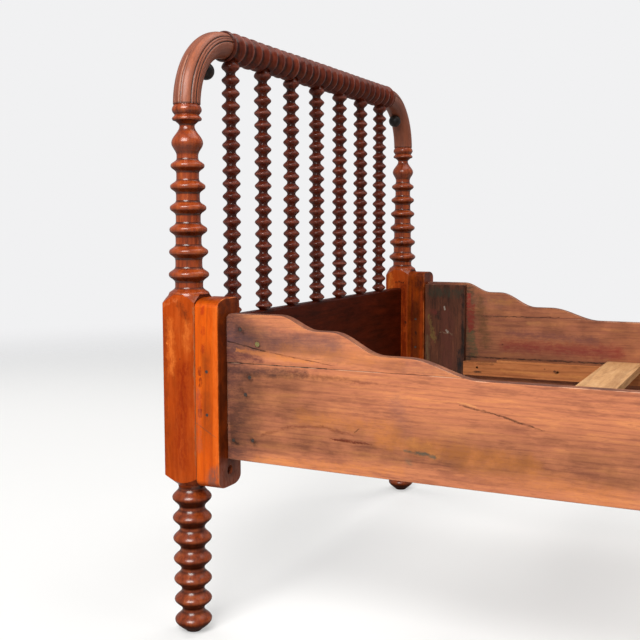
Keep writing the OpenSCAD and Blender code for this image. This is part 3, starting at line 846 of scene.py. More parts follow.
@dataclass(frozen=True)
class WoodFinish:
    """A wood with its varnish.

    Attributes:
        dark: Colour of late wood.
        light: Colour of the clearest fibres.
        rings: Number of growth lines over the figure's range.
        cloud: Strength of the cloudy lighter and darker patches, 0 to 1.
        fibre: Strength of the light fibres, as pores of the dark pores.
        shine: Strength of the bare surface's reflection.
        coat: Weight of the varnish over it.
        flat_coat: Share of the varnish that is left on the stained or cleared faces.
        stain_and_shade: Colour of the darker faces: stain, with painted shade on the bed side and under the
            turnings.
        under_stain_and_shade: Share of the wood's own colour that shows through that colour.
        clear: Colour of faces whose varnish is clearer, with painted light on the upper sides of the
            turnings.
        under_clear: Share of the wood's own colour that shows there.
        grime: Colour of the dark creases, grime with painted shade.
        rubbed: Colour where hands have worn the crests and edges, with a painted highlight there.
        bump: Height of fibres and pores, in millimetres.
        stretch: Length of the figure across the grain over its length along the grain.
        course: Name of the attribute that the grain follows, or none for the axis of the grain.
        marks: The strokes on it, the last on top.
    """

    name: str
    dark: Rgb
    mid: Rgb
    light: Rgb
    grain: Grain
    rings: float = 12.0
    figure: float = 0.5
    cloud: float = 0.4
    fibre: float = 0.3
    pores: float = 0.5
    rough: float = 0.4
    shine: float = 0.35
    coat: float = 0.5
    coat_rough: float = 0.12
    flat_coat: float = 1.0
    stain_and_shade: Rgb = (0.03, 0.01, 0.006)
    under_stain_and_shade: float = 0.14
    clear: Rgb = (0.5, 0.1, 0.02)
    under_clear: float = 0.45
    grime: Rgb = (0.012, 0.006, 0.004)
    grime_weight: float = 0.5
    rubbed: Rgb = (0.4, 0.2, 0.1)
    rubbed_weight: float = 0.2
    bump: float = 0.05
    stretch: float = 0.12
    course: str = ""
    marks: tuple[Mark, ...] = ()

    def colour(self, tree: Tree, figure: Node, age: Node, place: Socket) -> Socket:
        """Builds the colour of the wood.

        Args:
            tree: The material's tree.
            figure: The figure group's node.
            age: The age group's node.
            place: The piece's coordinates.

        Returns:
            The colour's socket.
        """
        tone = figure.outputs["Tone"]
        lines = tree.times(tree.minus(1.0, figure.outputs["Figure"]), self.figure)
        base = tree.mix(lines, self.mid, self.dark)
        base = tree.mix(tree.times(figure.outputs["Fibre"], self.fibre), base, self.light)
        base = tree.mix(tree.ramp(tone, 0.5, 0.66, 0.0, self.cloud), base, self.dark)
        base = tree.mix(tree.ramp(tone, 0.5, 0.34, 0.0, self.cloud), base, self.light)
        base = tree.mix(tree.times(figure.outputs["Pores"], self.pores), base, self.dark)
        # The shade attribute darkens or clears each face by the way it points: stain with painted shade, and
        # clear varnish with painted light
        shade = tree.attribute("shade")
        uneven = tree.ramp(age.outputs["Patches"], 0.3, 0.7, 1.12, 0.72)
        darker = tree.times(shade, uneven, clamp=True)
        base = tree.mix(darker, base, tree.mix(self.under_stain_and_shade, self.stain_and_shade, base))
        clearer = tree.times(tree.times(shade, uneven), -1.0, clamp=True)
        base = tree.mix(clearer, base, tree.mix(self.under_clear, self.clear, base))
        folded = tree.vector("ABSOLUTE", place)
        for mark in self.marks:
            base = mark.over(tree, base, place, folded, age)
        # Dark creases: grime with painted shade
        base = tree.mix(tree.times(age.outputs["Grime"], self.grime_weight), base, self.grime)
        # Pale crests and edges: wear with a painted highlight
        return tree.mix(tree.times(age.outputs["Rubbed"], self.rubbed_weight), base, self.rubbed)

    def material(self) -> Material:
        """Builds the material.

        Returns:
            The new material.
        """
        material = bpy.data.materials.new(self.name)
        tree = Tree.cleared(material)
        if self.course:
            place = tree.attribute(self.course, "Vector")
        else:
            place = tree.add("ShaderNodeTexCoord").outputs["Object"]
        along = tree.stretched(place, (1, 1, 1), self.grain.value)
        figure = tree.add("ShaderNodeGroup", {
            "Vector": along, "Rings": self.rings, "Stretch": self.stretch,
        }, node_tree=Kit.figure)
        age = tree.add("ShaderNodeGroup", {
            "Vector": along, "Relief": tree.attribute("relief"),
        }, node_tree=Kit.age)
        shader = tree.add("ShaderNodeBsdfPrincipled", {
            "Base Color": self.colour(tree, figure, age, place),
            "Roughness": self.roughness(tree, figure, age),
            "Specular IOR Level": self.shine,
            "Coat Weight": self.coat,
            "Coat Roughness": self.coat_rough,
            "Normal": self.normal(tree, figure, age),
        })
        if self.flat_coat < 1:
            shade = tree.math("ABSOLUTE", tree.attribute("shade"))
            flat = tree.ramp(shade, 0.52, 0.6, self.coat, self.coat * self.flat_coat)
            tree.tree.links.new(flat, shader.inputs["Coat Weight"])
        tree.add("ShaderNodeOutputMaterial", {"Surface": shader.outputs["BSDF"]})
        return material

    def roughness(self, tree: Tree, figure: Node, age: Node) -> Socket:
        """Roughness, which differs from patch to patch and is higher in scuffs.

        Args:
            tree: The material's tree.
            figure: The figure group's node.
            age: The age group's node.

        Returns:
            The roughness's socket.
        """
        worn = tree.times(age.outputs["Scuffs"], 0.2)
        spread = tree.ramp(figure.outputs["Tone"], 0.3, 0.7, self.rough - 0.05, self.rough + 0.08)
        return tree.plus(spread, worn, clamp=True)

    def normal(self, tree: Tree, figure: Node, age: Node) -> Socket:
        """Bump of fibres, pores and scuffs.

        Args:
            tree: The material's tree.
            figure: The figure group's node.
            age: The age group's node.

        Returns:
            The normal's socket.
        """
        height = tree.minus(figure.outputs["Fibre"], figure.outputs["Pores"])
        height = tree.minus(height, age.outputs["Scuffs"])
        inputs = {"Height": height, "Strength": 0.6, "Distance": self.bump * MM}
        return tree.add("ShaderNodeBump", inputs).outputs["Normal"]


@dataclass(frozen=True)
class MetalFinish:
    """Old iron or brass.

    Attributes:
        clean: Colour of the bare metal.
        tarnish: Colour of rust or tarnish.
        metallic: 1 for bare metal.
        rough: Roughness of the bare metal.
    """

    name: str
    clean: Rgb
    tarnish: Rgb
    metallic: float
    rough: float

    def material(self) -> Material:
        """Builds the material.

        Returns:
            The new material.
        """
        material = bpy.data.materials.new(self.name)
        tree = Tree.cleared(material)
        place = tree.add("ShaderNodeTexCoord").outputs["Object"]
        patches = tree.ramp(tree.noise(place, 420.0, 5.0, 0.65), 0.4, 0.62)
        shader = tree.add("ShaderNodeBsdfPrincipled", {
            "Base Color": tree.mix(patches, self.clean, self.tarnish),
            "Metallic": tree.ramp(patches, 0.0, 1.0, self.metallic, self.metallic * 0.35),
            "Roughness": tree.ramp(patches, 0.0, 1.0, self.rough, 0.75),
            "Normal": tree.add("ShaderNodeBump", {
                "Height": tree.noise(place, 900.0, 3.0, 0.6), "Strength": 0.5, "Distance": 0.00015,
            }).outputs["Normal"],
        })
        tree.add("ShaderNodeOutputMaterial", {"Surface": shader.outputs["BSDF"]})
        return material


# ---- The bed's measures and finishes ----


@dataclass(frozen=True)
class Layout:
    """Places that more than one sub-assembly uses, in millimetres.

    Attributes:
        post_x: Distance of a post's axis from the middle of the bed.
        post_y: Distance of a post's axis from the bed's middle line.
        half_post: Half the side of a post's square.
        seat_x: The planed face of the square, from the post's axis.
        block_face: Bed-side face of a rail block, from the post's axis.
        post_top: Height of the joint of post and bend.
        bend_radius: Radius of the bend's centre line.
        bend_z: Height of the bend's centre.
        rod_z: Height of the top rod's axis.
        rail_end: Distance of a rail's end from the middle of the bed.
        rail_z: Height of a rail's bottom edge.
        rail_out: Outer face of a rail, inwards from the post's axis.
        rail_in: Inner face of a rail's plank.
        batten_in: Inner face of a batten.
        ledger_in: Inner face of a ledger.
        notch_floor: Height of the floor of the slats' notches.
        bolt_heights: Heights of the sunk bolts' axes.
        bolt_y: The bolts' axes, inwards from the post's axis.
        hook_y: Middle of the hook irons, inwards from the post's axis.
    """

    post_x: float = 1006.9
    post_y: float = 557.0
    half_post: float = 36.0
    seat_x: float = 33.0
    block_face: float = 81.5
    post_top: float = 985.0
    bend_radius: float = 127.5
    bend_z: float = 981.5
    rod_z: float = 1109.0
    panel_top: float = 590.0
    rail_end: float = 925.0
    rail_z: float = 340.0
    rail_out: float = -5.0
    rail_in: float = 17.0
    batten_in: float = 35.0
    ledger_in: float = 43.0
    notch_floor: float = 392.5
    bolt_heights: tuple[float, float] = (318.0, 568.0)
    bolt_y: float = 3.0
    pin_heights: tuple[float, float] = (425.0, 504.0)
    hook_y: float = 15.0

    def corner(self, end: End, side: Side) -> Place:
        """The place of a part drawn about a post's axis, X to the bed and Y inwards."""
        return Place((end.value * self.post_x, side.value * self.post_y, 0),
                     (-end.value, -side.value, 1))

    def rail_place(self, end: End, side: Side) -> Place:
        """The place of a part drawn from a rail's end along X, Y inwards from the post's axis."""
        return Place((end.value * self.rail_end, side.value * self.post_y, 0),
                     (-end.value, -side.value, 1))

    def side_place(self, side: Side) -> Place:
        """The place of a part as long as the bed, Y inwards from the posts' axes."""
        return Place((0, side.value * self.post_y, 0), (1, -side.value, 1))


AT = Layout()
FRONT_BODY = {End.HEAD: "head_end", End.FOOT: "foot_end"}


INK = srgb(38, 22, 18)
UMBER = srgb(84, 54, 50)


def rail_marks() -> tuple[Mark, ...]:
    """The marks of the rails: those of the near rail's outer face, then the far one's inner face."""
    outside = AT.post_y - AT.rail_out
    near = Wall(-outside, -AT.rail_end)
    all_ends = Wall(outside, AT.rail_end, -1, shared=True)
    far = Wall(AT.post_y - AT.rail_in)
    amber, honey, ash = srgb(214, 132, 68), srgb(226, 148, 84), srgb(104, 104, 88)
    sepia, paint, moss = srgb(120, 58, 42), srgb(138, 50, 40), srgb(96, 84, 56)
    knots = ((47, 494), (38, 462), (16, 376), (52, 379), (30, 580), (63, 555), (28, 472))
    return (
        all_ends(6, 352, 8, 596, 88, UMBER, 0.88, 9.0, 1.0, broken=0.25),
        all_ends(0, 566, 210, 556, 36, srgb(96, 70, 74), 0.7, 9.0, 1.0, broken=0.3),
        all_ends(210, 540, 420, 528, 16, srgb(120, 78, 70), 0.35, 9.0, 1.0, broken=0.3),
        near(20, 543, 175, 528, 8, amber, 0.55, 4.0, 0.7, 0.6),
        near(120, 548, 330, 538, 20, amber, 0.4, 9.0, 1.0),
        near(2, 534, 70, 527, 10, srgb(92, 50, 50), 0.75, 4.0, 0.9),
        near(0, 504, 160, 508, 15, UMBER, 0.85, 5.0, 0.9, 0.3, broken=0.3),
        near(120, 508, 300, 498, 8, srgb(124, 66, 48), 0.6, 5.0, 0.9, 0.5),
        near(72, 391, 124, 410, 5, sepia, 0.55, 3.0, 0.9),
        near(124, 410, 191, 417, 5, sepia, 0.65, 3.0, 0.9),
        near(191, 417, 250, 406, 5, sepia, 0.6, 3.0, 0.9, 0.6),
        near(150, 430, 330, 425, 22, amber, 0.55, 9.0, 1.0),
        near(450, 375, 700, 350, 30, amber, 0.4, 9.0, 1.0),
        near(300, 404, 560, 386, 24, amber, 0.75, 9.0, 1.0, broken=0.35),
        near(354, 407, 400, 388, 15, honey, 0.6, 9.0, 1.0),
        near(60, 345, 340, 352, 14, amber, 0.4, 9.0, 1.0),
        near(330, 470, 345, 415, 24, srgb(140, 92, 84), 0.4, 9.0, 1.0),
        near(205, 396.5, 286, 394, 3.2, srgb(112, 44, 26), 0.9, 2.0, taper=0.8),
        near(253, 412, 261, 419, 1.3, INK, 0.85),
        near(344, 389.5, 396, 384, 4.6, ash, 0.85, 3.5, 0.8),
        near(350, 372, 354, 369, 8, ash, 0.45, 4.0, 0.9),
        near(438, 474.5, 507, 462, 2.4, srgb(70, 42, 30), 0.85, 1.6, 0.8, 0.7),
        near(495, 464, 579, 444, 3.4, srgb(64, 38, 28), 0.85, 2.0, 0.8, 0.8),
        near(436, 479, 470, 473, 2.4, srgb(222, 152, 96), 0.8, 1.4, 0.8, 0.7),
        near(2, 558, 79, 543, 1.5, INK, 0.9, 0.8),
        near(79, 543, 215, 525, 1.3, srgb(90, 44, 28), 0.75, 0.8, taper=0.6),
        all_ends(0, 519, 200, 519, 1.5, INK, 0.95),
        all_ends(200, 519, 446, 519.3, 0.9, srgb(96, 50, 32), 0.6, 0.3),
        *[all_ends(s, z, s + 4, z - 3, 8.5, INK, 0.7, 4.5, 1.0) for s, z in knots],
        far(-803, 590, -800, 395, 22, srgb(78, 62, 46), 0.85, 10.0, 0.7),
        far(-804, 572, -800, 480, 10, paint, 0.95, 7.0),
        far(-790, 545, -792, 485, 7, paint, 0.8, 6.0, 0.6),
        far(-798, 462, -785, 412, 15, moss, 0.85, 8.0, 0.6),
        far(-773, 560, -755, 440, 24, srgb(98, 70, 42), 0.75, 12.0, 1.0, broken=0.4),
        far(-746, 562, -690, 556, 11, srgb(168, 112, 62), 0.6, 7.0, 0.9),
        far(-700, 440, -400, 434, 30, srgb(132, 52, 44), 0.85, 9.0, 1.0, broken=0.4),
        far(-690, 474, -460, 464, 18, srgb(118, 70, 62), 0.75, 8.0, 1.0),
        far(-638, 502, -606, 503, 8, srgb(178, 122, 74), 0.6, 5.0, 1.0),
        far(-630, 537, -420, 530, 9, srgb(176, 112, 78), 0.7, 4.0, 1.0),
        far(-766, 516, -554, 521, 1.8, srgb(56, 28, 20), 0.85, 2.5),
        far(-810, 402, -420, 405, 3.0, INK, 0.85, 1.5),
        far(-707, 441, -706.9, 441, 3.5, INK, 0.7),
        far(-699, 517, -698.9, 517, 2.5, INK, 0.7),
    )


def batten_marks() -> tuple[Mark, ...]:
    """The marks of the far batten's inner face."""
    on = Wall(AT.post_y - AT.batten_in)
    moss, chalk = srgb(112, 88, 46), srgb(196, 190, 176)
    return (
        on(-862, 515, -856, 384, 32, srgb(88, 44, 34), 0.8, 10.0, 0.8),
        on(-904, 582, -826, 580, 20, srgb(52, 46, 34), 0.9, 9.0, 0.7),
        on(-903, 528, -894, 524, 10, srgb(96, 40, 32), 0.9, 6.0, 0.6),
        on(-911, 512, -900, 446, 5.5, moss, 0.9, 7.0, 0.6),
        on(-900, 480, -895, 440, 5.0, moss, 0.8, 6.0, 0.7),
        on(-917, 455, -915, 360, 9, srgb(104, 84, 58), 0.7, 6.0, 0.8),
        on(-887, 522, -882, 505, 8, srgb(22, 18, 15), 0.85, 6.0, 0.7),
        # A dark band beside the batten's bed-side edge: painted shade of that edge
        on(-815, 575, -813, 371, 7, srgb(20, 15, 12), 0.9, 4.0, 0.7),
        on(-824, 420, -823, 362, 10, srgb(22, 20, 20), 0.9, 5.0, 0.7),
        on(-868, 541, -867, 533, 2.6, chalk, 0.9, 1.0),
        on(-862, 476, -858, 470, 3.4, chalk, 0.6, 3.0),
        on(-882, 468, -841, 465, 2.0, srgb(140, 120, 96), 0.5, 8.0),
    )


def ledger_marks() -> tuple[Mark, ...]:
    """The dark marks of the far ledger's inner face."""
    on = Wall(AT.post_y - AT.ledger_in)
    return (
        on(-782, 366, -758, 365, 3.2, INK, 0.9, 2.0, 0.4, 0.5),
        on(-585, 384, -584, 384, 2.2, INK, 0.8),
        on(-558, 378, -554, 376, 5.0, srgb(70, 36, 22), 0.9, 2.0),
        on(-770, 388, -725, 389, 4.0, srgb(110, 62, 34), 0.6, 3.0),
        on(-700, 372, -430, 368, 7.0, srgb(196, 128, 66), 0.5, 4.0, 1.0),
    )


def block_marks() -> tuple[Mark, ...]:
    """The marks of the rail blocks: pin ends and knots outside, the bolt's gouge, the far one's bands."""
    outside = AT.post_y + AT.half_post
    outer, near, inner = Wall(outside, shared=True), Wall(-outside), Wall(AT.post_y - 44)
    bed, bolt = AT.post_x - AT.block_face, AT.post_y - AT.bolt_y
    red, spot = srgb(166, 48, 12), srgb(120, 34, 12)
    rounds = ((956, 614, 5, red, 0.7, 4.0), (955, 580, 5, red, 0.65, 4.0), (957, 546, 5, red, 0.65, 4.0),
              (964, 504, 5, spot, 0.85, 3.0), (963, 484, 5, spot, 0.8, 3.0), (964, 428, 5, spot, 0.85, 2.0),
              (966, 451, 8, red, 0.6, 5.0))
    return (
        *[outer(x, z - half, x, z + half, half, *style) for x, z, half, *style in rounds],
        near(-966, 360, -968, 470, 9, srgb(170, 84, 54), 0.55, 7.0, 0.9),
        near(-972, 408, -931, 385, 1.3, srgb(132, 78, 52), 0.8, 1.0),
        near(-930, 620, -930, 320, 9, srgb(226, 108, 34), 0.6, 3.0, 1.0),
        Mark((bed, bolt, 322), (bed, bolt - 2, 306), 8.5, INK, 0.85, 5.0, 0.8, shared=True),
        Mark((bed, bolt, 350), (bed, bolt + 2, 330), 1.8, INK, 0.9, 2.0, shared=True),
        Mark((bed, AT.post_y - 30, 306), (bed, AT.post_y + 24, 306), 36, srgb(134, 78, 60), 0.95, 3.0, 0.4,
             shared=True),
        inner(-933, 580, -933, 300, 7, srgb(166, 62, 18), 0.55, 2.0, 0.9),
        inner(-960, 612, -960, 300, 5, srgb(82, 20, 8), 0.8, 2.0, 0.9),
        inner(-940, 625, -940, 600, 20, srgb(64, 22, 13), 0.8, 4.0, 0.9),
        inner(-949, 467, -948, 463, 4, INK, 0.85, 2.0),
    )


def post_marks() -> tuple[Mark, ...]:
    """The marks on the squares of the near and the far post."""
    near, far = Wall(-AT.post_y - AT.half_post), Wall(AT.post_y - AT.half_post)
    red, pale = srgb(132, 36, 6), srgb(226, 122, 50)
    return (
        near(-1026, 590, -1024, 500, 13, pale, 0.6, 7.0, 1.0),
        near(-990, 590, -992, 545, 14, pale, 0.5, 7.0, 1.0),
        near(-1000, 510, -1002, 420, 24, red, 0.85, 7.0, 1.0),
        near(-1006, 400, -1004, 330, 26, red, 0.7, 7.0, 1.0),
        near(-1038, 600, -1040, 320, 9, srgb(126, 46, 14), 0.7, 7.0, 1.0),
        near(-1008, 626, -990, 600, 12, srgb(88, 34, 14), 0.8, 7.0, 1.0),
        near(-975, 620, -974, 330, 3.0, srgb(150, 98, 62), 0.55, 3.0),
        near(-1040, 622, -1010, 636, 4, srgb(214, 120, 66), 0.5, 7.0, 1.0),
        near(-1006, 524, -1006, 523.9, 2.0, INK, 0.7),
        near(-1034, 552, -1032, 551, 1.6, pale, 0.9),
        far(-989, 590, -988, 380, 26, srgb(96, 24, 6), 0.85, 7.0, 1.0),
        far(-1030, 625, -1028, 590, 12, pale, 0.7, 7.0, 1.0),
        far(-979, 640, -978, 380, 1.6, srgb(176, 82, 36), 0.6),
        far(-1013, 607, -990, 606, 4, srgb(40, 16, 8), 0.8, 5.0, broken=0.9),
        far(-983, 494, -981, 491, 4, INK, 0.7, 3.0),
        far(-996, 471, -994, 468, 4, INK, 0.7, 3.0),
    )


def bend_marks() -> tuple[Mark, ...]:
    """The stripes of the bends: Y is the way round the section, X the way along the bend."""
    long, wide = 240.0, 80
    blood, pink, groove_shade = srgb(104, 54, 44), srgb(160, 104, 86), srgb(48, 20, 14)
    stripes = (
        (12, long, 7.0, srgb(176, 94, 56), 0.55, 0.8, 0.7), (-12, 150, 8, pink, 0.5, 0.8, 0.8),
        (-7, 120, 1.6, blood, 0.7, 0.6), (-15, 110, 1.6, blood, 0.7, 0.6),
        # A dark line of painted shade along the fine middle groove, and a pale painted highlight line beside
        # it
        (2.4, 90, 1.1, srgb(60, 28, 22), 0.85, 0.3), (-0.8, 80, 1.2, srgb(186, 140, 118), 0.6, 0.5),
        # Dark lines along three of the grooves: painted shade in the grooves
        (22.7, long, 1.3, groove_shade, 0.95), (28.4, long, 1.0, srgb(60, 26, 18), 0.85),
        (34.0, long, 1.2, groove_shade, 0.9),
    )
    return (
        *[Mark((0.0, y, 0), (stop, y, 0), *style) for y, stop, *style in stripes],
        Mark((13, 2.4, 0), (17, 2.4, 0), 1.8, srgb(14, 10, 9), 0.95),
        Mark((0.5, -wide, 0), (0.5, wide, 0), 3.0, srgb(46, 20, 14), 0.8, 0.6, 0.8),
        Mark((208, -wide, 0), (208, wide, 0), 3.0, srgb(70, 32, 24), 0.6, 0.6, 0.8),
    )


class Finishes:
    """All the finishes of the bed, by the record's slots."""

    def __init__(self) -> None:
        """Makes each material once."""
        Kit.prepare()
        turned = dict(grain=Grain.ALONG_Z, coat_rough=0.235, shine=0.05, flat_coat=0.08)
        woods = (
            WoodFinish("post_wood", srgb(58, 17, 4), srgb(132, 50, 15), srgb(184, 92, 40), rings=9,
                       figure=0.35, rough=0.36, stain_and_shade=srgb(44, 13, 5), clear=srgb(190, 72, 8),
                       grime=srgb(34, 11, 6), grime_weight=0.85, rubbed=srgb(158, 80, 46),
                       rubbed_weight=0.35, cloud=0.55, marks=post_marks(), coat=1.0, **turned),
            WoodFinish("bend_wood", srgb(74, 34, 24), srgb(130, 72, 50), srgb(154, 90, 66), Grain.ALONG_X,
                       rings=9, figure=0.3, cloud=0.3, coat=0.1, coat_rough=0.35, rubbed_weight=0.0,
                       grime_weight=0.8, course="course", marks=bend_marks()),
            WoodFinish("spindle_wood", srgb(22, 5, 2), srgb(84, 27, 12), srgb(134, 58, 30), rings=7,
                       figure=0.3, grime=srgb(34, 10, 5), grime_weight=0.8, rubbed=srgb(158, 92, 76),
                       rubbed_weight=0.55, coat=0.6, **turned),
            WoodFinish("panel_wood", srgb(20, 4, 1), srgb(58, 14, 3), srgb(90, 28, 9), Grain.ALONG_Y,
                       rings=9, figure=0.4, rough=0.42, coat=0.1, coat_rough=0.2, shine=0.1, cloud=0.6),
            WoodFinish("block_wood", srgb(150, 52, 4), srgb(206, 82, 6), srgb(228, 108, 22), Grain.ALONG_Z,
                       rings=11, figure=0.35, cloud=0.3, rough=0.42, coat=0.15, coat_rough=0.16, shine=0.1,
                       stain_and_shade=srgb(32, 5, 0), rubbed=srgb(232, 132, 66), rubbed_weight=0.6,
                       marks=block_marks()),
            WoodFinish("rail_wood", srgb(128, 74, 58), srgb(192, 118, 85), srgb(230, 151, 94), Grain.ALONG_X,
                       rings=16, figure=0.36, cloud=0.5, rough=0.5, coat=0.12, coat_rough=0.3, shine=0.12,
                       stain_and_shade=srgb(72, 40, 32), rubbed=srgb(226, 178, 146), rubbed_weight=0.75, bump=0.12,
                       marks=rail_marks()),
            WoodFinish("ledger_wood", srgb(114, 60, 32), srgb(170, 100, 56), srgb(194, 126, 74),
                       Grain.ALONG_X, rough=0.62, coat=0.0, shine=0.2, stain_and_shade=srgb(104, 62, 40),
                       rubbed=srgb(212, 156, 104), bump=0.15, marks=ledger_marks()),
            WoodFinish("batten_wood", srgb(38, 20, 13), srgb(78, 42, 28), srgb(112, 64, 42), Grain.ALONG_Z,
                       rings=10, figure=0.4, cloud=0.7, rough=0.6, coat=0.05, shine=0.2,
                       rubbed=srgb(140, 108, 80), bump=0.15, marks=batten_marks()),
            WoodFinish("slat_wood", srgb(140, 92, 54), srgb(196, 146, 98), srgb(222, 178, 130),
                       Grain.ALONG_Y, rough=0.65, coat=0.0, shine=0.2, rubbed=srgb(224, 190, 150),
                       bump=0.15),
            WoodFinish("knob_wood", srgb(8, 7, 7), srgb(18, 15, 14), srgb(34, 27, 24), Grain.ALONG_Z,
                       rings=5, figure=0.3, rough=0.45, coat=0.15, coat_rough=0.25, rubbed=srgb(70, 50, 40)),
        )
        metals = (
            MetalFinish("iron", srgb(92, 88, 86), srgb(64, 44, 34), 0.9, 0.42),
            MetalFinish("brass", srgb(196, 170, 104), srgb(104, 112, 80), 1.0, 0.32),
        )
        self.made = {finish.name: finish.material() for finish in woods + metals}

    def coat(self, obj: Object, slot: str) -> None:
        """Gives an object one finish all over."""
        obj.data.materials.clear()
        obj.data.materials.append(self.made[slot])

    def dress(self, obj: Object, slot: str, body: str, *nodes: str) -> None:
        """Gives a piece its finish and its body, and hides the CAD nodes that it stands for.

        Args:
            obj: The piece.
            slot: The record's material slot, which is also the finish's name.
            body: The body that it rides on.
            *nodes: The CAD nodes that it replaces.
        """
        self.coat(obj, slot)
        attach(obj, body)
        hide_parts(*nodes)
        LOG.info("%s on %s: %d faces", obj.name, body, len(obj.data.polygons))


# ---- Turned work ----


@dataclass
class TurnedPost:
    """A post: turned leg, square with planed seat, six rings, vase and cap.

    Attributes:
        foot_share: Share of a pitch from the floor to the lowest bulb's crest.
        bulb_radii: Radius of the lowest and of the highest bulb, as neck_radii of the necks.
        corner_radius: Radius of the turning at the square, which the planes then cut.
        pitch_step: By how much each pitch of the rings is less than the one below it.
        ring_taper: By how much each ring is smaller than the one below it.
        thin_neck: Radius and height of the thinnest place, under the cap.
        cap_curve: Share of the cap's height and depth under its full radius, crest by hollow.
        cap_sharp: Sharpness of each stretch between them.
        steps: Points of a bulb's half wave, of a ring's flange and of a cap's bead.
        sharp: Sharpness of the bulbs and of the foot.
        underside_shade: Painted shade on the undersides of the turned parts, as upper_side_light painted
            light on the upper sides.
    """

    finishes: Finishes
    leg_bulbs: int = 7
    foot_share: float = 0.58
    leg_neck_z: float = 279.0
    bulb_radii: Point2 = (35.0, 37.0)
    neck_radii: Point2 = (20.8, 24.6)
    foot_flat: float = 14.0
    square: Point2 = (306.0, 624.0)
    corner_radius: float = 51.4
    shoulder_top: float = 640.0
    rings: int = 6
    first_ring: float = 37.0
    ring_pitch: float = 41.5
    pitch_step: float = 0.95
    ring_radius: float = 37.0
    ring_taper: float = 1.22
    cove_radii: Point2 = (25.7, 19.7)
    vase_radius: float = 28.8
    vase_share: float = 0.43
    thin_neck: Point2 = (13.8, 945.5)
    cap_radius: float = 27.0
    cap: Point2 = (956.5, 985.0)
    cap_curve: tuple[Point2, ...] = ((0.09, 0.0), (0.33, 4.8), (0.65, 0.0), (0.98, 3.6))
    cap_sharp: tuple[float, ...] = (0.7, 0.6, 0.6)
    steps: tuple[int, int, int] = (9, 12, 6)
    sharp: Point2 = (1.12, 0.6)
    around: int = 96
    edge: float = 1.6
    # The bed side of the square is darker: stain with painted shade
    tones: FaceTones = FaceTones(outer=-1.0, inner=-0.8, bed=0.8, away=-0.6, top=0.4)
    leg_tone: float = 0.45
    # Painted shade under the rings and bulbs, and painted light on their upper sides
    underside_shade: float = 0.95
    upper_side_light: float = -0.3

    def pitch(self) -> float:
        """Spacing of the leg's bulbs."""
        return self.leg_neck_z / (self.leg_bulbs - 0.5 + self.foot_share)

    def leg(self) -> Profile:
        """Outline of the leg, from the floor to its top neck."""
        last, steps = self.leg_bulbs - 1, self.steps[0]
        sharp, foot = self.sharp

        def even(pair: Point2, i: int) -> float:
            """A value that goes evenly from the foot to the top."""
            return pair[0] + (pair[1] - pair[0]) * i / last

        rows: Profile = []
        below = (self.foot_flat, 0.0)
        for i in range(self.leg_bulbs):
            crest = (even(self.bulb_radii, i), self.pitch() * (i + self.foot_share))
            height = self.leg_neck_z if i == last else crest[1] + self.pitch() / 2
            neck = (even(self.neck_radii, i), height)
            rows += wave(below, crest, steps, foot if i == 0 else sharp)
            rows += wave(crest, neck, steps, sharp)
            below = neck
        return rows

    def middle(self) -> Profile:
        """Outline of the square and its two shoulders."""
        low, high = self.square
        neck, half = self.neck_radii[1], AT.half_post
        return [(neck, self.leg_neck_z, 0.0), (neck + 1.2, self.leg_neck_z + 6, 0.2),
                (self.corner_radius, low, 0.5), (self.corner_radius, high, 0.5),
                (half + 2.5, self.shoulder_top - 1, 0.4)]

    def ring_height(self, i: int) -> float:
        """Height of a ring's crest."""
        rise = self.ring_pitch * i - self.pitch_step * i * (i - 1) / 2
        return self.shoulder_top + self.first_ring + rise

    def cove(self, i: int) -> Point2:
        """Radius and height of the cove under a ring.

        Args:
            i: The ring's number from 0.

        Returns:
            The cove's point.
        """
        low, high = self.cove_radii
        drop = (self.ring_pitch - self.pitch_step * (i - 1)) / 2
        return low + (high - low) * i / self.rings, self.ring_height(i) - drop

    def upper(self) -> Profile:
        """Outline of the rings, the vase and the cap."""
        steps, ring_steps, cap_steps = self.steps
        rows = wave((AT.half_post + 1, self.shoulder_top + 2.5), self.cove(0), steps, 1.6)
        for i in range(self.rings):
            crest = (self.ring_radius - self.ring_taper * i, self.ring_height(i))
            rows += wave(self.cove(i), crest, ring_steps, flange=True)
            rows += wave(crest, self.cove(i + 1), ring_steps, flange=True)
        low = self.cove(self.rings)
        ball = (self.vase_radius, low[1] + (self.thin_neck[1] - low[1]) * self.vase_share)
        rows += wave(low, ball, steps) + wave(ball, self.thin_neck, steps, 0.9)
        base, top = self.cap
        full = self.cap_radius
        rows += wave(self.thin_neck, (full - 5.5, base), cap_steps, 1.5) + [(full - 1, base, 0.9)]
        curve = [(full - depth, base + (top - base) * share) for share, depth in self.cap_curve]
        for start, end, sharp in zip(curve, curve[1:], self.cap_sharp):
            rows += wave(start, end, cap_steps, sharp)
        return rows + [(curve[-1][0], top, 0.5)]

    def offcut(self) -> Shape:
        """The wood planed off round the square: a frame about the stock, closed."""
        half, seat, edge = AT.half_post, AT.seat_x, self.edge
        inner: list[Point2] = []
        for x, y, start in ((seat, half, 0), (-half, half, 90), (-half, -half, 180), (seat, -half, 270)):
            centre = (x - math.copysign(edge, x), y - math.copysign(edge, y))
            inner += rounded(centre, (edge, edge), start, 4)
        outer = [(math.copysign(80, p[0]), math.copysign(80, p[1])) for p in inner]
        outer = [(o[0] + 0.01 * p[0], o[1] + 0.01 * p[1]) for o, p in zip(outer, inner)]
        count = len(inner)
        low, high = self.leg_neck_z - 3, self.shoulder_top + 2
        points = [(x, y, z) for z in (low, high) for ring in (inner, outer) for x, y in ring]
        faces = []
        for i in range(count):
            j = (i + 1) % count
            a, b, c, d = 0, count, 2 * count, 3 * count
            faces += [(a + i, c + i, c + j, a + j), (b + i, b + j, d + j, d + i),
                      (a + i, a + j, b + j, b + i), (c + i, d + i, d + j, c + j)]
        return Shape(np.array(points, float), faces)

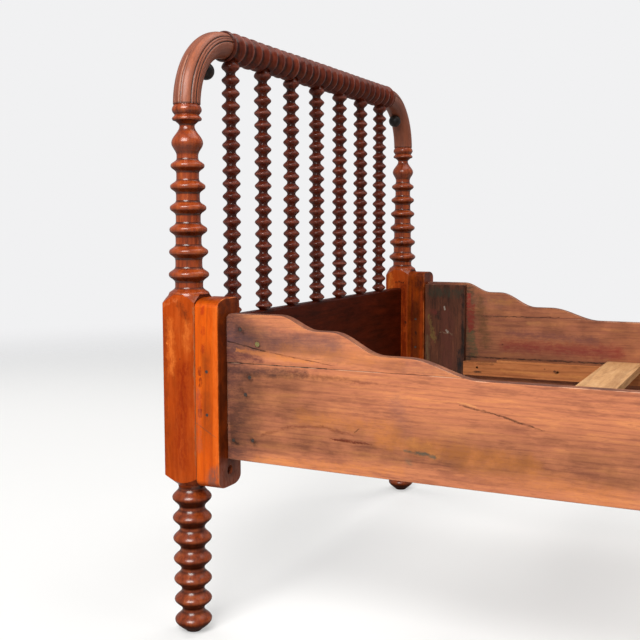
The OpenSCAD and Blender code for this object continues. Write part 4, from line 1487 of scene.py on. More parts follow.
    def build(self) -> None:
        """Makes the four posts."""
        profile = self.leg() + self.middle() + self.upper()
        heights = [row[1] for row in profile]
        swells = [row[2] for row in profile]
        whole = revolve(profile, self.around)
        tool = linked("tool", self.offcut().mesh("tool"))
        raw = linked("post", whole.mesh("post"))
        cut = raw.modifiers.new("cut", "BOOLEAN")
        cut.object, cut.solver = tool, "EXACT"
        settled(raw)
        bpy.data.objects.remove(tool)
        points = placed(raw) / MM
        x, y, z = points.T
        relief = np.interp(z, heights, swells)
        from_sides = AT.half_post - np.abs(y)
        from_ends = np.minimum(x + AT.half_post, AT.seat_x - x)
        middle = (z > self.square[0]) & (z < self.square[1])
        on_edge = (from_sides > 0.05) & (from_ends > 0.05) & (np.minimum(from_sides, from_ends) < 2)
        relief = np.where(middle, np.where(on_edge, 1.0, 0.5), relief)
        faces = [tuple(p.vertices) for p in raw.data.polygons]
        bpy.data.objects.remove(raw)
        shape = Shape(points, faces, relief)
        for end in End:
            for side in Side:
                name = f"{end.key}_{side.key}_post"
                obj = linked(f"{name}_turned", AT.corner(end, side)(shape).mesh(name))
                obj.data.set_sharp_from_angle(angle=SHARP_POST)
                self.tones.write(obj, end.value, side.value, (self.leg_neck_z, self.shoulder_top),
                                 self.leg_tone, self.underside_shade, self.upper_side_light)
                self.finishes.dress(obj, "post_wood", FRONT_BODY[end], name)


@dataclass
class BentCorner:
    """The bent corner piece between a post and the top rod, with the grooves along it.

    Attributes:
        grooves: Angle from the outer edge towards the bed, in degrees, and share of the depth.
        groove_width: Angle from a groove's middle at which a third of its depth is left.
        knob_angle: Angle of the knob's axis over the level, in degrees.
        knob_sink: How far the ball stands in the bend.
        peg_radius: Radius of the knob's peg.
    """

    finishes: Finishes
    section_radius: float = 25.0
    groove_depth: float = 1.8
    groove_width: float = 3.2
    grooves: tuple[Point2, ...] = ((-1, 0.35), (10, 0.35), (52, 1), (65, 0.5), (78, 1),
                                   (-52, 1), (-65, 0.5), (-78, 1))
    around: int = 180
    steps: int = 36
    knob_radius: float = 16.3
    knob_angle: float = 49.6
    knob_sink: float = 8.0
    peg_radius: float = 3.9
    peg_length: float = 12.0

    def section(self) -> list[Point2]:
        """Radius and relief of the section at each angle from the outer edge."""
        rows = []
        for i in range(self.around):
            angle = 360 * i / self.around
            angle = angle - 360 if angle > 180 else angle
            cut = max(g[1] * math.exp(-((angle - g[0]) / self.groove_width) ** 2) for g in self.grooves)
            rows.append((self.section_radius - self.groove_depth * cut, 0.75 - 0.75 * min(1, cut * 1.4)))
        return rows

    def shape(self) -> Shape:
        """The bend about a post's axis."""
        section = self.section()
        points, relief, course = [], [], []
        for step in range(self.steps + 1):
            for i, (radius, swell) in enumerate(section):
                angle = 2 * math.pi * i / self.around
                reach = AT.bend_radius + radius * math.cos(angle)
                start = math.asin((AT.post_top - AT.bend_z) / reach)
                turn = start + (math.pi / 2 - start) * step / self.steps
                points.append((radius * math.sin(angle), AT.bend_radius - reach * math.cos(turn),
                               AT.bend_z + reach * math.sin(turn)))
                relief.append(swell)
                round_it = angle - 2 * math.pi if angle > math.pi else angle
                course.append((AT.bend_radius * (turn - start), self.section_radius * round_it, 0.0))
        faces: list[tuple[int, ...]] = []
        for row in range(self.steps):
            for i in range(self.around):
                j = (i + 1) % self.around
                a, b = row * self.around, (row + 1) * self.around
                faces.append((a + i, b + i, b + j, a + j))
        last = self.steps * self.around
        faces.append(tuple(range(self.around)))
        faces.append(tuple(reversed(range(last, last + self.around))))
        return Shape(np.array(points), faces, np.array(relief), np.array(course))

    def knob(self) -> Shape:
        """The black ball with its peg, about a post's axis."""
        full = self.knob_radius
        rows: Profile = [(0.6, -full + 0.05, 1.0)]
        for i in range(1, 20):
            angle = math.pi * i / 20
            rows.append((full * math.sin(angle) * 0.995, -full * math.cos(angle), math.sin(angle)))
        peg = self.peg_radius
        rows = [row for row in rows if row[0] > peg or row[1] < 0]
        rows += [(peg, full, 0.0), (peg, full + self.peg_length, 0.0)]
        shape = revolve(rows, 40)
        reach = AT.bend_radius - self.section_radius - full + self.knob_sink
        tilt = math.radians(self.knob_angle)
        turn = math.radians(90 - self.knob_angle)
        y, z = shape.points[:, 1], shape.points[:, 2]
        points = np.column_stack([shape.points[:, 0], y * math.cos(turn) - z * math.sin(turn),
                                  y * math.sin(turn) + z * math.cos(turn)])
        points += [0, AT.bend_radius - reach * math.cos(tilt), AT.bend_z + reach * math.sin(tilt)]
        return Shape(points, shape.faces, shape.relief)

    def build(self) -> None:
        """Makes the four bends and the two pairs of knobs."""
        bend, knob = self.shape(), self.knob()
        for end in End:
            balls = []
            for side in Side:
                place = AT.corner(end, side)
                name = f"{end.key}_{side.key}_bend"
                obj = linked(f"{name}_grooved", place(bend).mesh(name))
                obj.data.set_sharp_from_angle(angle=SHARP_BEND)
                self.finishes.dress(obj, "bend_wood", FRONT_BODY[end], name)
                balls.append(place(knob))
            pair = linked(f"{end.key}_ball_knobs", joined(balls).mesh("knobs"))
            pair.data.set_sharp_from_angle(angle=SHARP_BEND)
            self.finishes.dress(pair, "knob_wood", FRONT_BODY[end], f"{end.key}_knobs")


def spool_tree() -> NodeTree:
    """Makes the geometry tree of a row of spool-turned sticks.

    A stick runs along Z. Its swellings repeat between the first and the last crest or hollow,
    and beyond them it falls to its shoulders. Every ring differs a little from the next.

    Returns:
        The geometry group.
    """
    tree = Tree.group("Spool turning", "GeometryNodeTree", [
        ("Bottom", FLOAT, 0.0), ("Top", FLOAT, 1.0),
        ("First crest", FLOAT, 0.1), ("Last crest", FLOAT, 0.9),
        ("Gap", FLOAT, 0.025), ("Crest radius", FLOAT, 0.0175),
        ("Neck radius", FLOAT, 0.009), ("Bottom radius", FLOAT, 0.01),
        ("Top radius", FLOAT, 0.01),
        ("Sharpness", FLOAT, 1.15), ("Shoulder sharpness", FLOAT, 0.7),
        ("Points", "NodeSocketInt", 240), ("Around", "NodeSocketInt", 32),
        ("Sticks", "NodeSocketInt", 1), ("First stick", VECTOR, (0, 0, 0)),
        ("Stick step", VECTOR, (0, 0.13, 0)), ("Unevenness", FLOAT, 0.02),
        ("Seed", FLOAT, 1.0), ("Material", "NodeSocketMaterial", None),
    ], [("Geometry", "NodeSocketGeometry")])
    given = tree.given
    ends = [tree.add("ShaderNodeCombineXYZ", {2: given(name)}).outputs[0] for name in ("Bottom", "Top")]
    line = tree.add("GeometryNodeCurvePrimitiveLine", {"Start": ends[0], "End": ends[1]})
    dense = tree.add("GeometryNodeResampleCurve", {"Curve": line.outputs[0], "Count": given("Points")})
    row = tree.add("GeometryNodeMeshLine", {
        "Count": given("Sticks"), "Start Location": given("First stick"), "Offset": given("Stick step"),
    }, mode="OFFSET")
    places = tree.add("GeometryNodeInstanceOnPoints", {
        "Points": row.outputs[0], "Instance": dense.outputs[0],
    })
    sticks = tree.add("GeometryNodeRealizeInstances", {0: places.outputs[0]})
    spot = tree.add("GeometryNodeInputPosition").outputs[0]
    parts = tree.add("ShaderNodeSeparateXYZ", {0: spot})
    height = parts.outputs["Z"]
    first, last, neck = given("First crest"), given("Last crest"), given("Neck radius")
    turns = tree.math("DIVIDE", tree.minus(height, first), given("Gap"))
    cosine = tree.math("COSINE", tree.times(turns, 2 * math.pi))
    swell = tree.math("POWER", tree.times(tree.plus(cosine, 1.0), 0.5), given("Sharpness"))
    body = tree.plus(neck, tree.times(swell, tree.minus(given("Crest radius"), neck)))
    over = tree.math("DIVIDE", tree.minus(height, last), tree.minus(given("Top"), last))
    under = tree.math("DIVIDE", tree.minus(first, height), tree.minus(first, given("Bottom")))
    beyond = tree.math("MAXIMUM", over, under)
    edge = tree.math("MINIMUM", tree.math("MAXIMUM", beyond, 0.0), 1.0)
    cosine = tree.math("COSINE", tree.times(edge, math.pi))
    drop = tree.math("POWER", tree.times(tree.plus(cosine, 1.0), 0.5), given("Shoulder sharpness"))
    wider = tree.minus(given("Top radius"), given("Bottom radius"))
    at_top = tree.math("GREATER_THAN", over, 0.0)
    end_radius = tree.plus(given("Bottom radius"), tree.times(at_top, wider))
    fall = tree.minus(given("Crest radius"), end_radius)
    shoulder = tree.plus(end_radius, tree.times(drop, fall))
    outside = tree.math("GREATER_THAN", beyond, 0.0)

    def chosen(a: Socket, b: Socket) -> Socket:
        """The first beyond the last crests and the second between them."""
        return tree.plus(tree.times(outside, a), tree.times(tree.minus(1.0, outside), b))

    radius, share = chosen(shoulder, body), chosen(drop, swell)
    where = tree.add("ShaderNodeCombineXYZ", {
        0: tree.times(parts.outputs["X"], 3.0), 1: tree.times(parts.outputs["Y"], 7.3),
        2: tree.math("ROUND", turns),
    }).outputs[0]
    uneven = tree.add("ShaderNodeTexWhiteNoise", {"Vector": where, "W": given("Seed")},
                      noise_dimensions="4D").outputs["Value"]
    radius = tree.times(radius, tree.minus(1.0, tree.times(uneven, given("Unevenness"))))
    marked = tree.add("GeometryNodeStoreNamedAttribute", {
        "Geometry": sticks.outputs[0], "Name": "relief", "Value": share,
    }, data_type="FLOAT", domain="POINT")
    sized = tree.add("GeometryNodeSetCurveRadius", {"Curve": marked.outputs[0], "Radius": radius})
    circle = tree.add("GeometryNodeCurvePrimitiveCircle", {"Resolution": given("Around"), "Radius": 1.0},
                      mode="RADIUS")
    skin = tree.add("GeometryNodeCurveToMesh", {
        "Curve": sized.outputs[0], "Profile Curve": circle.outputs[0], "Fill Caps": True,
    })
    if "Scale" in skin.inputs:
        scale = tree.add("GeometryNodeInputRadius").outputs[0]
        tree.tree.links.new(scale, skin.inputs["Scale"])
    smooth = tree.add("GeometryNodeSetShadeSmooth", {"Geometry": skin.outputs[0]})
    whole = tree.add("GeometryNodeRealizeInstances", {0: smooth.outputs[0]})
    finished = tree.add("GeometryNodeSetMaterial", {
        "Geometry": whole.outputs[0], "Material": given("Material"),
    })
    tree.give("Geometry", finished.outputs[0])
    return tree.tree


def grown(name: str, tree: NodeTree, values: dict[str, Any]) -> Object:
    """Runs a geometry tree and keeps its mesh.

    Args:
        name: The new object's name.
        tree: The geometry tree.
        values: The tree's inputs by name.

    Returns:
        The object, with a plain mesh and no modifier.
    """
    obj = linked(name, bpy.data.meshes.new(name))
    modifier = obj.modifiers.new("grow", "NODES")
    modifier.node_group = tree
    known = {item.name: item.identifier for item in tree.interface.items_tree
             if item.item_type == "SOCKET" and item.in_out == "INPUT"}
    for label, value in values.items():
        modifier[known[label]] = value
    return settled(obj)


@dataclass
class SpoolWork:
    """The bead-turned spindles and the ringed top rod of both ends.

    Attributes:
        shift: How far the row of spindles stands off the bed's middle line.
        bead_low: Height of the lowest bead's crest.
        bead_sharp: Sharpness of a spindle's crests and of its shoulders, as rod_sharp of the rod's.
        bead_grid: Points along a spindle and round it, as rod_grid along and round the rod.
        bead_uneven: Share by which one bead differs from the next, as rod_uneven of the rings.
    """

    finishes: Finishes
    spindles: int = 7
    pitch: float = 129.6
    shift: float = 11.0
    bead_radius: float = 18.3
    bead_neck: float = 9.3
    shoulder: float = 10.0
    bead_low: float = 599.0
    bead_top: float = 1072.8
    beads: int = 20
    spindle_ends: Point2 = (590.15, 1089.0)
    rod_length: float = 859.0
    rod_rings: int = 26
    rod_pitch: float = 33.3
    rod_first_ring: float = 5.0
    rod_end_radius: float = 28.1
    rod_radius: float = 30.2
    rod_neck: float = 22.3
    bead_sharp: Point2 = (1.15, 0.85)
    rod_sharp: Point2 = (1.35, 1.35)
    bead_grid: tuple[int, int] = (248, 32)
    rod_grid: tuple[int, int] = (365, 56)
    bead_uneven: float = 0.03
    rod_uneven: float = 0.025
    bead_seed: float = 3.0
    rod_seed: float = 5.0

    def spindle_row(self, end: End, tree: NodeTree) -> None:
        """Makes one end's seven spindles.

        Args:
            end: The end.
            tree: The spool turning.
        """
        side = -end.value
        x = end.value * AT.post_x
        first = side * (-(self.spindles - 1) / 2 * self.pitch - self.shift)
        row = grown(f"{end.key}_spindles", tree, {
            "Bottom": self.spindle_ends[0] * MM, "Top": self.spindle_ends[1] * MM,
            "First crest": self.bead_low * MM, "Last crest": self.bead_top * MM,
            "Gap": (self.bead_top - self.bead_low) / (self.beads - 1) * MM,
            "Crest radius": self.bead_radius * MM, "Neck radius": self.bead_neck * MM,
            "Bottom radius": self.shoulder * MM, "Top radius": self.shoulder * MM,
            "Sharpness": self.bead_sharp[0], "Shoulder sharpness": self.bead_sharp[1],
            "Points": self.bead_grid[0], "Around": self.bead_grid[1],
            "Sticks": self.spindles, "First stick": (x * MM, first * MM, 0.0),
            "Stick step": (0.0, side * self.pitch * MM, 0.0), "Unevenness": self.bead_uneven,
            "Seed": self.bead_seed, "Material": self.finishes.made["spindle_wood"],
        })
        nodes = [f"{end.key}_spindle_{i}" for i in range(1, self.spindles + 1)]
        self.finishes.dress(row, "spindle_wood", FRONT_BODY[end], *nodes)

    def rod(self, end: End, tree: NodeTree) -> None:
        """Makes one end's top rod.

        Args:
            end: The end.
            tree: The spool turning.
        """
        half = self.rod_length / 2
        first = self.rod_first_ring - half
        last = first + (self.rod_rings - 1) * self.rod_pitch
        rod = grown(f"{end.key}_ringed_rod", tree, {
            "Bottom": -half * MM, "Top": half * MM, "First crest": first * MM, "Last crest": last * MM,
            "Gap": self.rod_pitch * MM, "Crest radius": self.rod_radius * MM,
            "Neck radius": self.rod_neck * MM, "Bottom radius": self.rod_end_radius * MM,
            "Top radius": self.rod_neck * MM,
            "Sharpness": self.rod_sharp[0], "Shoulder sharpness": self.rod_sharp[1],
            "Points": self.rod_grid[0], "Around": self.rod_grid[1], "Sticks": 1,
            "First stick": (0.0, 0.0, 0.0), "Unevenness": self.rod_uneven, "Seed": self.rod_seed,
            "Material": self.finishes.made["spindle_wood"],
        })
        points = placed(rod)
        way = -end.value
        turned = np.column_stack([way * points[:, 0] + end.value * AT.post_x * MM, way * points[:, 2],
                                  AT.rod_z * MM - points[:, 1]])
        rod.data.vertices.foreach_set("co", turned.ravel())
        rod.data.update()
        self.finishes.dress(rod, "spindle_wood", FRONT_BODY[end], f"{end.key}_top_rod")

    def build(self) -> None:
        """Makes the spindles and rods of both ends."""
        tree = spool_tree()
        for end in End:
            self.spindle_row(end, tree)
            self.rod(end, tree)


# ---- Boards ----


@dataclass
class EndBoards:
    """The panel between the posts and the blocks bolted to them."""

    finishes: Finishes
    panel_x: Point2 = (-15.0, 11.0)
    panel_z: float = 350.0
    panel_round: float = 5.0
    block_y: Point2 = (-36.0, 44.0)
    block_z: Point2 = (287.0, 636.0)
    low_round: Point2 = (26.0, 16.0)
    top_round: Point2 = (33.0, 17.0)
    inner_round: float = 14.0
    sink_radius: float = 9.0
    sink_depth: float = 14.0
    slot_depth: float = 36.0
    slot_width: float = 6.6
    slot_z: Point2 = (416.4, 531.6)
    pin_depth: float = 24.0
    pin_radius: float = 3.05
    # The bed side is darkest: stain with painted shade
    tones: FaceTones = FaceTones(inner=0.95, bed=1.0, away=0.4, top=0.8, bottom=0.5)

    def panel(self, end: End) -> None:
        """Makes one end's panel.

        Args:
            end: The end.
        """
        x0, x1 = self.panel_x
        ease, top = self.panel_round, AT.panel_top
        outline = [(x0, self.panel_z), (x1, self.panel_z)]
        outline += rounded((x1 - ease, top - ease), (ease, ease), 0, 6)
        outline += rounded((x0 + ease, top - ease), (ease, ease), 90, 6)
        half = AT.post_y - AT.half_post - 0.15
        shape = prism(outline, -half, half, Plane.XZ)
        place = Place((end.value * AT.post_x, 0, 0), (-end.value, 1, 1))
        obj = carved(f"{end.key}_board_panel", place(shape), 0.8)
        self.finishes.dress(obj, "panel_wood", FRONT_BODY[end], f"{end.key}_panel")

    def rail_block(self, end: End, side: Side) -> None:
        """Makes one rail block with its sunk bolt holes, hook slot and pin holes.

        Args:
            end: The block's end.
            side: Its side.
        """
        low, high = self.block_y
        bottom, top = self.block_z
        wide, deep = self.low_round
        broad, tall = self.top_round
        turn = self.inner_round
        outline = rounded((low + wide, bottom + deep), self.low_round, 180)
        outline += rounded((high - wide, bottom + deep), self.low_round, 270)
        outline += rounded((high - turn, top - turn), (turn, turn), 0)
        outline += rounded((low + broad, top - tall), self.top_round, 90)
        place = AT.corner(end, side)
        face = AT.block_face
        cutters = [place(bore((face + 1, AT.bolt_y, z), 0, self.sink_radius, -self.sink_depth - 1))
                   for z in AT.bolt_heights]
        half = self.slot_width / 2
        cutters.append(place(block((face - self.slot_depth, AT.hook_y - half, self.slot_z[0]),
                                   (face + 1, AT.hook_y + half, self.slot_z[1]))))
        for z in AT.pin_heights:
            for start, way in ((low - 1, 1), (high + 1, -1)):
                reach = abs(AT.hook_y - start) - half + 0.5
                cutters.append(place(bore((face - self.pin_depth, start, z), 1, self.pin_radius,
                                          way * reach, 16)))
        shape = place(prism(outline, AT.seat_x, face, Plane.YZ))
        obj = carved(f"{end.key}_{side.key}_bolted_block", shape, 2.0, cutters)
        self.tones.write(obj, end.value, side.value)
        self.finishes.dress(obj, "block_wood", FRONT_BODY[end], f"{end.key}_{side.key}_rail_block")

    def build(self) -> None:
        """Makes the boards of both ends and finishes their iron."""
        for end in End:
            self.panel(end)
            for side in Side:
                self.rail_block(end, side)
            for name in ("block_bolts", "hook_pins"):
                self.finishes.coat(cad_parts[f"{end.key}_{name}"], "iron")


@dataclass
class SideRail:
    """A side rail: plank, scalloped brackets, battens, ledger and its fixings.

    Attributes:
        falls: Start, length, upper and lower height of each fall of the scalloped edge.
        seam: Length of the seam between bracket and plank.
        batten: Heights of a batten's lower and upper end, as ledger of the ledger's edges.
        nails: Distance from the rail's end and height over the floor of each nail.
        iron_plate: Lower and upper end, half the width and thickness of a hook iron's plate.
        play: Room round that plate.
    """

    finishes: Finishes
    plank_h: float = 179.0
    belly: float = 7.0
    end_h: float = 268.0
    falls: tuple[tuple[float, float, float, float], ...] = (
        (105.0, 73.0, 268.0, 243.0), (205.0, 100.0, 243.0, 205.5), (345.0, 130.0, 205.5, 175.5))
    seam: float = 446.1
    corner: float = 9.0
    batten: Point2 = (345.0, 602.0)
    batten_w: float = 115.0
    ledger: Point2 = (355.0, 400.0)
    notch_w: float = 94.0
    notch_step: float = 381.5
    notches: int = 5
    nails: tuple[Point2, ...] = ((47, 494), (38, 462), (12, 376), (52, 379))
    bracket_nails: tuple[Point2, ...] = ((28, 580),)
    screw: Point2 = (63, 555)
    nail_head: float = 3.2
    screw_head: float = 4.4
    sink: float = 0.9
    iron_plate: tuple[float, float, float, float] = (405.0, 531.0, 9.0, 3.0)
    play: float = 0.15
    tones: FaceTones = FaceTones(inner=0.6, top=0.95, bottom=0.4)

    def top(self, s: float) -> float:
        """Height of the rail's top edge over its bottom edge, at a distance from its end.

        Args:
            s: The distance.

        Returns:
            The height.
        """
        height = self.falls[0][2]
        for start, length, high, low in self.falls:
            if s >= start:
                share = min((s - start) / length, 1.0)
                height = low + (high - low) * (1 + math.cos(math.pi * share)) / 2
        return height

    def top_line(self, start: float, stop: float, count: int) -> list[Point2]:
        """Points of the top edge between two distances from the end."""
        return [(s, AT.rail_z + self.top(s)) for s in np.linspace(start, stop, count)]

    def holes(self, place: Place, spots: Sequence[Point2], radius: float) -> list[Shape]:
        """Shallow sinks over the heads of nails and screws in the outer face."""
        return [place(bore((s, AT.rail_out - 1, z), 1, radius, self.sink + 1, 20)) for s, z in spots]

    def plate_recess(self, place: Place) -> Shape:
        """Room for the hook iron's plate in the rail's end.

        Args:
            place: Where the rail's end goes.

        Returns:
            A box to cut.
        """
        low, high, half, deep = self.iron_plate
        half += self.play
        return place(block((-1, AT.hook_y - half, low - self.play),
                           (deep + self.play, AT.hook_y + half, high + self.play)))

    def plank(self, side: Side) -> None:
        """Makes the plank.

        Args:
            side: The rail's side.
        """
        length = 2 * AT.rail_end
        half = [(0.0, AT.rail_z + self.plank_h), (self.seam, AT.rail_z + self.plank_h)]
        half += self.top_line(self.seam + 2, 475, 14)
        other = [(length - s, z) for s, z in reversed(half)]
        bottom = [(s, AT.rail_z - self.belly * (1 - (1 - 2 * s / length) ** 2))
                  for s in np.linspace(length, 0, 17)]
        outline = bottom + half + other
        outline = [(s - AT.rail_end, z) for s, z in reversed(outline)]
        place = AT.side_place(side)
        cutters = []
        for end in End:
            at_end = AT.rail_place(end, side)
            cutters += self.holes(at_end, self.nails, self.nail_head + 0.5)
            cutters.append(self.plate_recess(at_end))
        shape = place(prism(outline, AT.rail_out, AT.rail_in, Plane.XZ))
        obj = carved(f"{side.key}_worn_plank", shape, 1.6, cutters)
        self.tones.write(obj, 0, side.value)
        self.finishes.dress(obj, "rail_wood", "rails", f"{side.key}_rail_plank")

    def bracket(self, end: End, side: Side) -> None:
        """Makes one scalloped bracket.

        Args:
            end: The bracket's end.
            side: Its side.
        """
        r, top = self.corner, AT.rail_z + self.end_h
        base = AT.rail_z + self.plank_h + 0.1
        outline = [(self.seam, base)] + list(reversed(self.top_line(105, self.seam - 4, 52)))
        outline += rounded((r, top - r), (r, r), 90, 6) + [(0.0, base)]
        place = AT.rail_place(end, side)
        cutters = self.holes(place, self.bracket_nails, self.nail_head + 0.5)
        cutters += self.holes(place, [self.screw], self.screw_head + 0.5)
        cutters.append(self.plate_recess(place))
        shape = place(prism(outline, AT.rail_out, AT.rail_in, Plane.XZ))
        obj = carved(f"{side.key}_{end.key}_scalloped_bracket", shape, 1.3, cutters)
        self.tones.write(obj, 0, side.value)
        self.finishes.dress(obj, "rail_wood", "rails", f"{side.key}_rail_{end.key}_bracket")

    def batten_board(self, end: End, side: Side) -> None:
        """Makes one batten.

        Args:
            end: The batten's end.
            side: Its side.
        """
        place = AT.rail_place(end, side)
        low, high = self.batten
        shape = block((0, AT.rail_in + 0.05, low), (self.batten_w - 0.05, AT.batten_in, high))
        obj = carved(f"{side.key}_{end.key}_dark_batten", place(shape), 1.2, [self.plate_recess(place)])
        self.finishes.dress(obj, "batten_wood", "rails", f"{side.key}_rail_{end.key}_batten")

    def notched_ledger(self, side: Side) -> None:
        """Makes the ledger with its notches.

        Args:
            side: The rail's side.
        """
        low, high = self.ledger
        first = self.batten_w
        last = 2 * AT.rail_end - self.batten_w
        outline = [(first, low), (last, low)]
        top: list[Point2] = []
        for i in range(self.notches):
            start = first + i * self.notch_step
            stop = start + self.notch_w
            if i > 0:
                top += [(start, high), (start, AT.notch_floor)]
            else:
                top.append((first, AT.notch_floor))
            top.append((min(stop, last), AT.notch_floor))
            if i < self.notches - 1:
                top.append((stop, high))
        outline += list(reversed(top))
        outline = [(s - AT.rail_end, z) for s, z in outline]
        place = AT.side_place(side)
        shape = prism(outline, AT.rail_in + 0.05, AT.ledger_in, Plane.XZ)
        obj = carved(f"{side.key}_notched_ledger", place(shape), 1.0)
        FaceTones(top=0.6).write(obj, 0, side.value)
        self.finishes.dress(obj, "ledger_wood", "rails", f"{side.key}_rail_ledger")

    def build(self) -> None:
        """Makes both rails and finishes their metal."""
        for side in Side:
            self.plank(side)
            self.notched_ledger(side)
            for end in End:
                self.bracket(end, side)
                self.batten_board(end, side)
            for name, slot in (("hook_irons", "iron"), ("nails", "iron"), ("screws", "brass")):
                self.finishes.coat(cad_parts[f"{side.key}_rail_{name}"], slot)


@dataclass
class Slats:
    """The loose slats in the ledgers' notches."""

    finishes: Finishes
    first: int = 2
    last: int = 5
    width: float = 90.0
    thick: float = 19.0
    half_length: float = 538.0
    play: float = 2.0
    start: float = 115.0
    step: float = 381.5

    def build(self) -> None:
        """Makes the slats."""
        for i in range(self.first, self.last + 1):
            x = self.start + (i - 1) * self.step + self.play - AT.rail_end
            low = AT.notch_floor + 0.05
            shape = block((x, -self.half_length, low), (x + self.width, self.half_length, low + self.thick))
            obj = carved(f"slat_board_{i}", shape, 1.0)
            self.finishes.dress(obj, "slat_wood", f"slat_{i}", f"slat_{i}")


# ---- Studio ----

LAMP_WHITE = (1.0, 0.98, 0.95)


@dataclass(frozen=True)
class Lamp:
    """A square soft box, in metres and watts.

    Attributes:
        aim: The place that it faces.
        size: Length of its side.
        power: Its power.
        mirrored: False for a fill light that leaves no highlight.
    """

    name: str
    place: Point3
    aim: Point3
    size: float
    power: float
    mirrored: bool = True

    def hang(self) -> None:
        """Makes the lamp."""
        data = bpy.data.lights.new(self.name, "AREA")
        data.shape, data.size, data.energy, data.color = "SQUARE", self.size, self.power, LAMP_WHITE
        obj = linked(self.name, data)
        obj.location, obj.visible_glossy = self.place, self.mirrored
        obj.rotation_euler = (Vector(self.aim) - Vector(self.place)).to_track_quat("-Z", "Y").to_euler()


LAMPS = (
    Lamp("key", (-0.65, -3.1, 2.7), (-0.85, -0.1, 0.6), 2.0, 156),
    Lamp("top", (0.0, 0.5, 4.0), (0.0, 0.0, 0.4), 3.0, 45),
    Lamp("back", (0.5, 3.4, 2.5), (0.3, 0.3, 0.5), 2.4, 75, mirrored=False),
    Lamp("head", (-3.9, 0.9, 2.2), (-0.9, 0.0, 0.5), 2.0, 40, mirrored=False),
    Lamp("foot", (3.9, -0.9, 2.2), (0.9, 0.0, 0.5), 2.0, 34, mirrored=False),
)


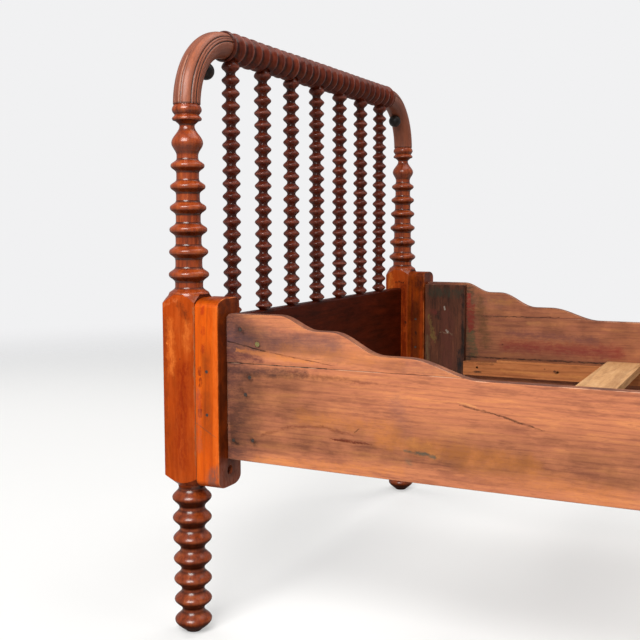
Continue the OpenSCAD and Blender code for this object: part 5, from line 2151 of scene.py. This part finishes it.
@dataclass
class Studio:
    """Floor, light and camera.

    Attributes:
        camera_at: The camera's place, in millimetres.
        yaw: Turn of the view from +Y towards -X, in degrees.
        dip: Fall of the view, in degrees.
        roll: Roll, in degrees.
        lens: Focal length on a sensor 36 mm wide.
        floor_dim: Colour of the floor to all rays but the camera's, to throw up less light.
        floor_lift: Share of the floor's glow in floor_pale.
        floor_fade: Distances between which the floor fades into the backdrop, in metres.
        sky: Colour and strength of the soft light from all sides.
        sky_mirrored: Share of the backdrop that shows in polish.
    """

    camera_at: Point3 = (-12.2, -2093.1, 766.6)
    yaw: float = 25.35
    dip: float = 5.49
    roll: float = -0.06
    lens: float = 55.38
    backdrop: Rgb = srgb(241, 241, 242)
    floor_shade: Rgb = srgb(234, 234, 234)
    floor_dim: Rgb = srgb(160, 158, 156)
    floor_pale: Rgb = srgb(255, 255, 254)
    floor_lift: float = 0.36
    floor_radius: float = 9.0
    floor_fade: Point2 = (2.4, 6.5)
    sky: tuple[Rgb, float] = ((0.93, 0.96, 1.0), 0.22)
    sky_mirrored: float = 0.1

    def camera(self) -> None:
        """Makes the camera."""
        data = bpy.data.cameras.new("camera")
        data.lens, data.sensor_width = self.lens, 36.0
        data.clip_start, data.clip_end = 0.05, 60.0
        obj = linked("camera", data)
        yaw, dip = math.radians(self.yaw), math.radians(self.dip)
        forward = Vector((-math.sin(yaw) * math.cos(dip), math.cos(yaw) * math.cos(dip), -math.sin(dip)))
        obj.location = [c * MM for c in self.camera_at]
        turn = forward.to_track_quat("-Z", "Y").to_matrix().to_4x4()
        obj.rotation_euler = turn.to_euler()
        obj.rotation_euler.rotate_axis("Z", math.radians(self.roll))
        bpy.context.scene.camera = obj

    def floor(self) -> None:
        """Makes the floor, which fades into the backdrop far from the bed."""
        angles = [2 * math.pi * i / 64 for i in range(64)]
        ring = [(self.floor_radius * math.cos(a), self.floor_radius * math.sin(a), 0.0) for a in angles]
        mesh = bpy.data.meshes.new("floor")
        mesh.from_pydata(ring, [], [tuple(range(len(ring)))])
        obj = linked("floor", mesh)
        material = bpy.data.materials.new("floor_paper")
        tree = Tree.cleared(material)
        place = tree.add("ShaderNodeTexCoord").outputs["Object"]
        away = tree.ramp(tree.vector("LENGTH", place, out="Value"), *self.floor_fade)
        seen = tree.add("ShaderNodeLightPath").outputs["Is Camera Ray"]
        paper = tree.add("ShaderNodeBsdfPrincipled", {
            "Base Color": tree.mix(seen, self.floor_dim, self.floor_shade), "Roughness": 0.55,
            "Specular IOR Level": 0.15,
        })
        pale = tree.add("ShaderNodeEmission", {"Color": (*self.floor_pale, 1), "Strength": 1.0})
        lifted = tree.add("ShaderNodeMixShader", {
            0: tree.times(seen, self.floor_lift), 1: paper.outputs[0], 2: pale.outputs[0],
        })
        clear = tree.add("ShaderNodeBsdfTransparent")
        mixed = tree.add("ShaderNodeMixShader", {0: away, 1: lifted.outputs[0], 2: clear.outputs[0]})
        tree.add("ShaderNodeOutputMaterial", {"Surface": mixed.outputs[0]})
        mesh.materials.append(material)
        obj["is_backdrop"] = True

    def world(self) -> None:
        """Makes the world: the backdrop to the camera, soft light to the bed."""
        world = bpy.data.worlds.new("studio")
        bpy.context.scene.world = world
        tree = Tree.cleared(world)
        path = tree.add("ShaderNodeLightPath")
        seen = tree.math("MAXIMUM", path.outputs["Is Camera Ray"], path.outputs["Is Transmission Ray"])
        mirrored = tree.times(path.outputs["Is Glossy Ray"], self.sky_mirrored)
        seen = tree.math("MAXIMUM", seen, mirrored)
        colour, strength = self.sky
        light = tree.add("ShaderNodeBackground", {"Color": (*colour, 1), "Strength": strength})
        back = tree.add("ShaderNodeBackground", {"Color": (*self.backdrop, 1), "Strength": 1.0})
        mixed = tree.add("ShaderNodeMixShader", {0: seen, 1: light.outputs[0], 2: back.outputs[0]})
        tree.add("ShaderNodeOutputWorld", {"Surface": mixed.outputs[0]})

    def build(self) -> None:
        """Makes the studio."""
        self.camera()
        self.floor()
        self.world()
        for lamp in LAMPS:
            lamp.hang()
        bpy.context.scene.view_settings.view_transform = "Standard"


def main() -> None:
    """Builds the bed and its studio, piece by piece."""
    logging.basicConfig(level=logging.INFO, format="%(name)s: %(message)s")
    Studio().build()
    finishes = Finishes()
    for part in (TurnedPost(finishes), BentCorner(finishes), SpoolWork(finishes), EndBoards(finishes),
                 SideRail(finishes), Slats(finishes)):
        LOG.info("building %s", type(part).__name__)
        part.build()
    sizes = [[list(corner) for corner in box] for box in (CAD_BOUNDS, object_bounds())]
    "\n".join(json.dumps(box) for box in sizes) + "\n"


if __name__ == "__main__":
    main()
